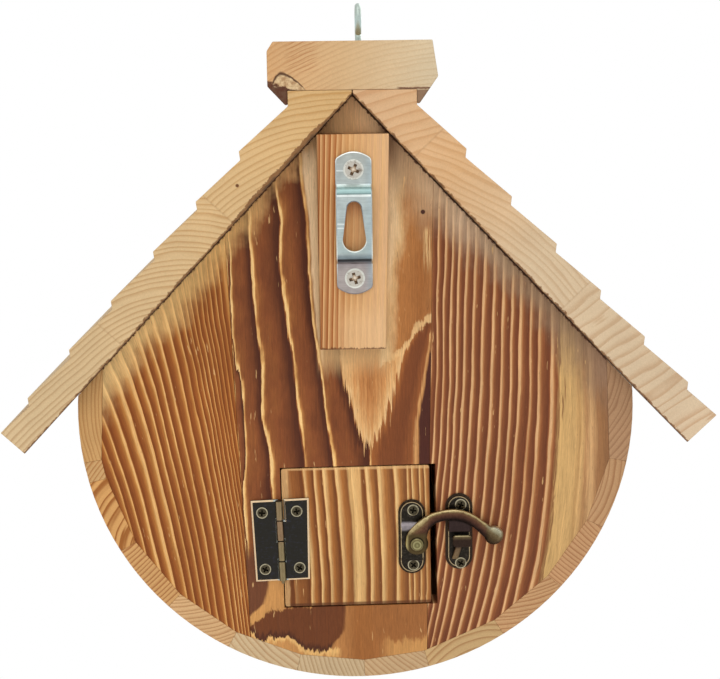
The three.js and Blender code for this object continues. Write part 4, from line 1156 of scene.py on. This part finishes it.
def add_hanger_plate():
    half, top, foot, bow = 6.2, 15.6, -33.5, 2.4

    def end(at, way):
        """One bowed end with its softened corners, from right to left."""
        bowed = [(half*(1 - 2*t), at - way*bow*(1 - 4*t*(1 - t))) for t in (k/20 for k in range(1, 20))]
        corner = ((0, 0.9), (0.1, 0.35), (0.3, -0.1))
        soft = [(half - inward, at - way*(bow + down)) for inward, down in corner]
        return soft + bowed + [(-x, z) for x, z in reversed(soft)]

    slot_top, slot_top_r, slot_foot, slot_foot_r = -3.65, 2.45, -14.3, 4
    lean = degrees(asin((slot_foot_r - slot_top_r)/(slot_top - slot_foot)))
    slot = (arc(0, slot_top, slot_top_r, lean, 180 - lean, 16)
            + arc(0, slot_foot, slot_foot_r, 180 - lean, 360 + lean, 20))
    outline = end(top, 1) + list(reversed(end(foot, -1)))
    height = functools.partial(bend, upper=1.2, lower=-19.6, ramp_height=2.8, height=3)
    holes = [(0, z, 2.6) for z in HANGER_SCREW_Z]
    loops = [outline, slot] + [hole(*h) for h in holes]
    work, front = stamped(loops, 1.5, height, levels((1.2, 4.0), (-22.4, -19.6)))
    framed(work, front, holes, 0.34, 0.2)
    metal("hanger_plate", work, HANGER_SPOT, ["zinc", "zinc_rim"], smooth=15)


def add_base_plate():
    raised = functools.partial(bend, upper=3.2, lower=-7, ramp_height=2.2, height=1.4)
    work = latch_plate(9.8, 28, 0.95, [(0.5, 10.1, 1.3), (0.5, -10.6, 1.3)], raised, (3.2, 5.4), (-9.2, -7))
    metal("latch_base_plate", work, BASE_SPOT, ["dark_bronze", "worn_line", "bronze_skirt"],
          "door_body", smooth=15)


def box_between(low, high):
    work = bmesh.new()
    for vert in bmesh.ops.create_cube(work, size=1.0)["verts"]:
        vert.co = Vector([(b if c > 0 else a)*MM for a, b, c in zip(low, high, vert.co)])
    return work


def add_catch_plate():
    work = latch_plate(9.9, 28.6, 1.15, [(0.6, 10.2, 1.3), (0.6, -11.7, 1.1)], flat)
    hook = box_between((-2.6, -6, -4.5), (4.2, -4.8, -0.1))
    bevelled(hook, [e for e in hook.edges if abs(e.verts[0].co.y - e.verts[1].co.y) > 0.5*MM], 1.1, 4)
    bevelled(hook, [e for e in hook.edges if all(v.co.y < -5.9*MM for v in e.verts)], 0.55, 3, clamp=True)
    stem = bmesh.new()
    for vert in bmesh.ops.create_cube(stem, size=1.0)["verts"]:
        x, y, z = (-1.6, -0.9, -10.4) if vert.co.z < 0 else (-0.3, -5.1, -4.0)
        vert.co = Vector((x + vert.co.x*2.3, y + vert.co.y*1.1, z))*MM
    bevelled(stem, list(stem.edges), 0.45, 3)
    for form in (hook, stem):
        add_form(work, marked(form, 3))
    metal("catch_plate", work, KEEPER_SPOT, ["dark_bronze", "worn_line", "bronze_skirt", "hook_bronze"],
          smooth=20)


def rounding(radius, high, y, steps):
    """Part of a rounded form's outline, in steps of 10 degrees from its pole."""
    return [(radius*sin(a), y - high*cos(a)) for a in (radians(k*10) for k in steps)]


def add_rivet():
    shank = [(1.4, -4.5), (1.4, -1.3), (2, -1.3), (2, -0.8), (0, -0.8)]
    work = spun([(0, -5.9)] + rounding(2.6, 1.4, -4.5, range(1, 10)) + shank)
    metal("latch_rivet", work, RIVET_SPOT, ["brassy_rivet"], "door_body")


def smooth_line(points, count=6):
    """A smooth line through points, as many more points."""
    padded, made = [points[0]] + points + [points[-1]], []
    for a, b, c, d in zip(padded, padded[1:], padded[2:], padded[3:]):
        for t in (k/count for k in range(count)):
            made.append(tuple(0.5*(2*q + (r - p)*t + (2*p - 5*q + 4*r - s)*t*t
                                     + (3*q - p - 3*r + s)*t**3) for p, q, r, s in zip(a, b, c, d)))
    return made + [points[-1]]


def squared(part):
    """A circle's sine or cosine, pushed outwards for a fuller section."""
    return copysign(abs(part)**0.75, part)


def add_arm():
    """Cast arm: a rounded band from the hub to the ball, and the lobe that the hook holds, as one skin."""
    work, rings = bmesh.new(), []
    turns = [2*pi*k/20 for k in range(20)]
    for i, (outer, inner) in enumerate(zip(smooth_line(ARM_OUTER), smooth_line(ARM_INNER))):
        outer, inner = (Vector((x, 0, z)) for x, z in (outer, inner))
        middle, reach = (outer + inner)/2, (outer - inner)/2
        grown = 0.35*min(1.0, i/14)
        heights = [-3.5 - grown + squared(sin(t))*(0.9 + grown) for t in turns]
        rings.append([work.verts.new((middle + reach*squared(cos(t)) + Vector((0, y, 0)))*MM)
                      for t, y in zip(turns, heights)])
    bridged(work, rings)
    work.faces.new(rings[0])
    work.faces.new(list(reversed(rings[-1])))
    add_form(work, spun([(0, -4.4), (3.5, -4.4), (4.1, -4.1), (4.2, -3.6), (4.1, -2.7), (0, -2.6)]))
    ball = rounding(3.5, 2.6, 0, range(1, 18))
    add_form(work, spun([(0, -2.6)] + ball + [(0, 2.6)]), spot(BALL_X, -3.5, BALL_Z))
    lobe = box_between((11.5, -4.4, 4.1), (19.7, -2.6, 11))
    bevelled(lobe, list(lobe.edges), 0.5, 2)
    add_form(work, lobe)
    bmesh.ops.recalc_face_normals(work, faces=work.faces)
    made = as_object(work)
    skin = made.modifiers.new("skin", "REMESH")
    skin.mode, skin.voxel_size = "VOXEL", 0.22*MM
    soft = made.modifiers.new("soft", "SMOOTH")
    soft.factor, soft.iterations = 0.5, 6
    work = finished(made)
    metal("latch_arm", work, RIVET_SPOT, ["brassy_bronze"], "latch_body", smooth=80)


def leaf_loop(side, own):
    """Outline of a hinge leaf, with notches where the other leaf's knuckles are."""
    far_foot, far_top = (9.9, 10.2) if side < 0 else (9.8, 10.9)
    points = [(far_foot, -HINGE_HALF), (far_top, HINGE_HALF)]
    for k in range(4):
        top = HINGE_HALF - k*KNUCKLE_PITCH
        beside = 1.7 if side > 0 and k == 0 else 1.05
        reach, inset = (0.35, 0.1) if k in own else (beside, -0.1)
        points += [(reach, top - (inset if k else 0)), (reach, top - KNUCKLE_PITCH + (inset if k < 3 else 0))]
    return [(side*x, z) for x, z in points]


def add_leaf(node, side, own, body):
    holes = [(side*6.3, z, 1.5) for z in (10.7, -10.7)]
    work, front = stamped([leaf_loop(side, own)] + [hole(*h) for h in holes], 0.9, flat)
    framed(work, front, holes, 0.6, 0.3)
    work.transform(spot(0, 1.3, 0))
    for k in own:
        top, foot = 15.2 - k*KNUCKLE_PITCH, 7.75 - k*KNUCKLE_PITCH
        outline = [(0, foot), (1.12, foot), (1.3, foot + 0.18), (1.3, top - 0.18), (1.12, top), (0, top)]
        add_form(work, marked(spun(outline, 32), 2), turned(90, "X"))
    looks = ["dark_bronze_leaf", "worn_edge", "brassy_knuckle"]
    metal(node, work, HINGE_SPOT, looks, body, smooth=18)


def add_pin():
    work = spun([(0, -16.3), (0.45, -16.3), (0.6, -16.1), (0.6, 15.1), (0.45, 15.3), (0, 15.3)], 24)
    metal("hinge_pin", work, HINGE_SPOT @ turned(90, "X"), ["brassy_knuckle"])


def add_eye():
    """Screw eye: one wire, straight in the cap and bent round into an open ring."""
    ring = [(5.76*cos(a), 9.3 + 5.76*sin(a)) for a in (radians(d) for d in range(-62, 233, 7))]
    path = [(0, z) for z in (-15, -12, -8, -4, 0, 1.2)] + [(0.5, 2.7), (1.5, 3.7)] + ring
    work = drawn([[(0, y, z) for y, z in smooth_line(path, 3)]], False, dimensions="3D", bevel_depth=1.2*MM,
                 bevel_resolution=6, use_fill_caps=True)
    bmesh.ops.remove_doubles(work, verts=work.verts, dist=1e-6)
    metal("screw_eye", work, EYE_SPOT, ["zinc_wire"])


def add_brads():
    """Brads: each replaces its solid, whose middle and axis it keeps."""
    outline = [(0, -13.35), (1.0, -13.35), (1.4, -13.15), (1.4, -12.75), (0.7, -12.65), (0.7, 13.6),
               (0, 14.5)]
    for side, label in ((-1, "left"), (1, "right")):
        inward = Vector((-side*sin(PITCH), 0, -cos(PITCH)))
        turn = Vector((0, 1, 0)).rotation_difference(inward).to_matrix().to_4x4()
        for i in range(4):
            node = f"roof_brad_{label}_{i + 1}"
            low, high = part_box(node)
            metal(node, spun(outline, 24), Matrix.Translation((low + high)/2) @ turn, ["zinc_wire"])


# Stage, light and world

def seen_rays():
    """1 for rays that come straight from the camera or by way of a mirror."""
    path = make("ShaderNodeLightPath")
    straight, *mirrored = (Field(path.outputs[f"Is {ray} Ray"]) for ray in ("Camera", "Glossy",
                                                                            "Transmission"))
    return larger(straight, larger(*mirrored))


def add_stage():
    """Pale floor that is white where it is seen or mirrored."""
    work = bmesh.new()
    bmesh.ops.create_circle(work, cap_ends=True, segments=64, radius=FLOOR_RADIUS)
    work.transform(Matrix.Translation((0, 0, FLOOR_Z)))
    floor = linked("stage_floor", as_mesh("stage_floor", work))
    floor.data.materials.append(new_tree(bpy.data.materials.new("stage_floor")))
    plain = wired(make("ShaderNodeBsdfDiffuse"), ("Color", (FLOOR_SHADE, FLOOR_SHADE, FLOOR_SHADE, 1)))
    glow = wired(make("ShaderNodeEmission"), ("Strength", seen_rays()*FLOOR_GLOW))
    both = wired(make("ShaderNodeAddShader"), (0, plain), (1, glow))
    wire(make("ShaderNodeOutputMaterial").inputs["Surface"], both)


def add_world():
    bpy.context.scene.world = new_tree(bpy.data.worlds.new("studio"))
    light = wired(make("ShaderNodeBackground"), ("Color", (1, 1, 1, 1)),
                  ("Strength", mix(seen_rays(), WORLD_LIGHT, 1.0)))
    wire(make("ShaderNodeOutputWorld").inputs["Surface"], light)


# Lamps: name, place in metres, width, power, and whether metal mirrors them
LAMPS = [("key", (-0.25, -1.5, 0.35), 1.3, 8.5, False), ("low", (0.3, -1.3, -0.45), 1.0, 3.5, False),
         ("top", (-0.1, -0.35, 1.4), 0.9, 4.5, True), ("fill_front", (0.9, 1.5, 0.7), 1.2, 9.0, True)]


def add_lamp(name, at, width, power, mirrored):
    data = bpy.data.lights.new(name, "AREA")
    data.shape, data.size, data.energy = "DISK", width, power
    lamp = linked(name, data)
    lamp.location = at
    lamp.rotation_euler = (Vector(MIDDLE_OF_BOX) - Vector(at)).to_track_quat("-Z", "Y").to_euler()
    lamp.visible_glossy = mirrored


add_camera()
add_world()
add_stage()
for given in LAMPS:
    add_lamp(*given)
add_boards()
add_hanger_plate()
add_screws()
add_base_plate()
add_catch_plate()
add_rivet()
add_arm()
add_leaf("hinge_leaf_fixed", -1, (0, 2), "root")
add_leaf("hinge_leaf_door", 1, (1, 3), "door_body")
add_pin()
add_eye()
add_brads()

scene = bpy.context.scene
scene.view_settings.view_transform = "Standard"
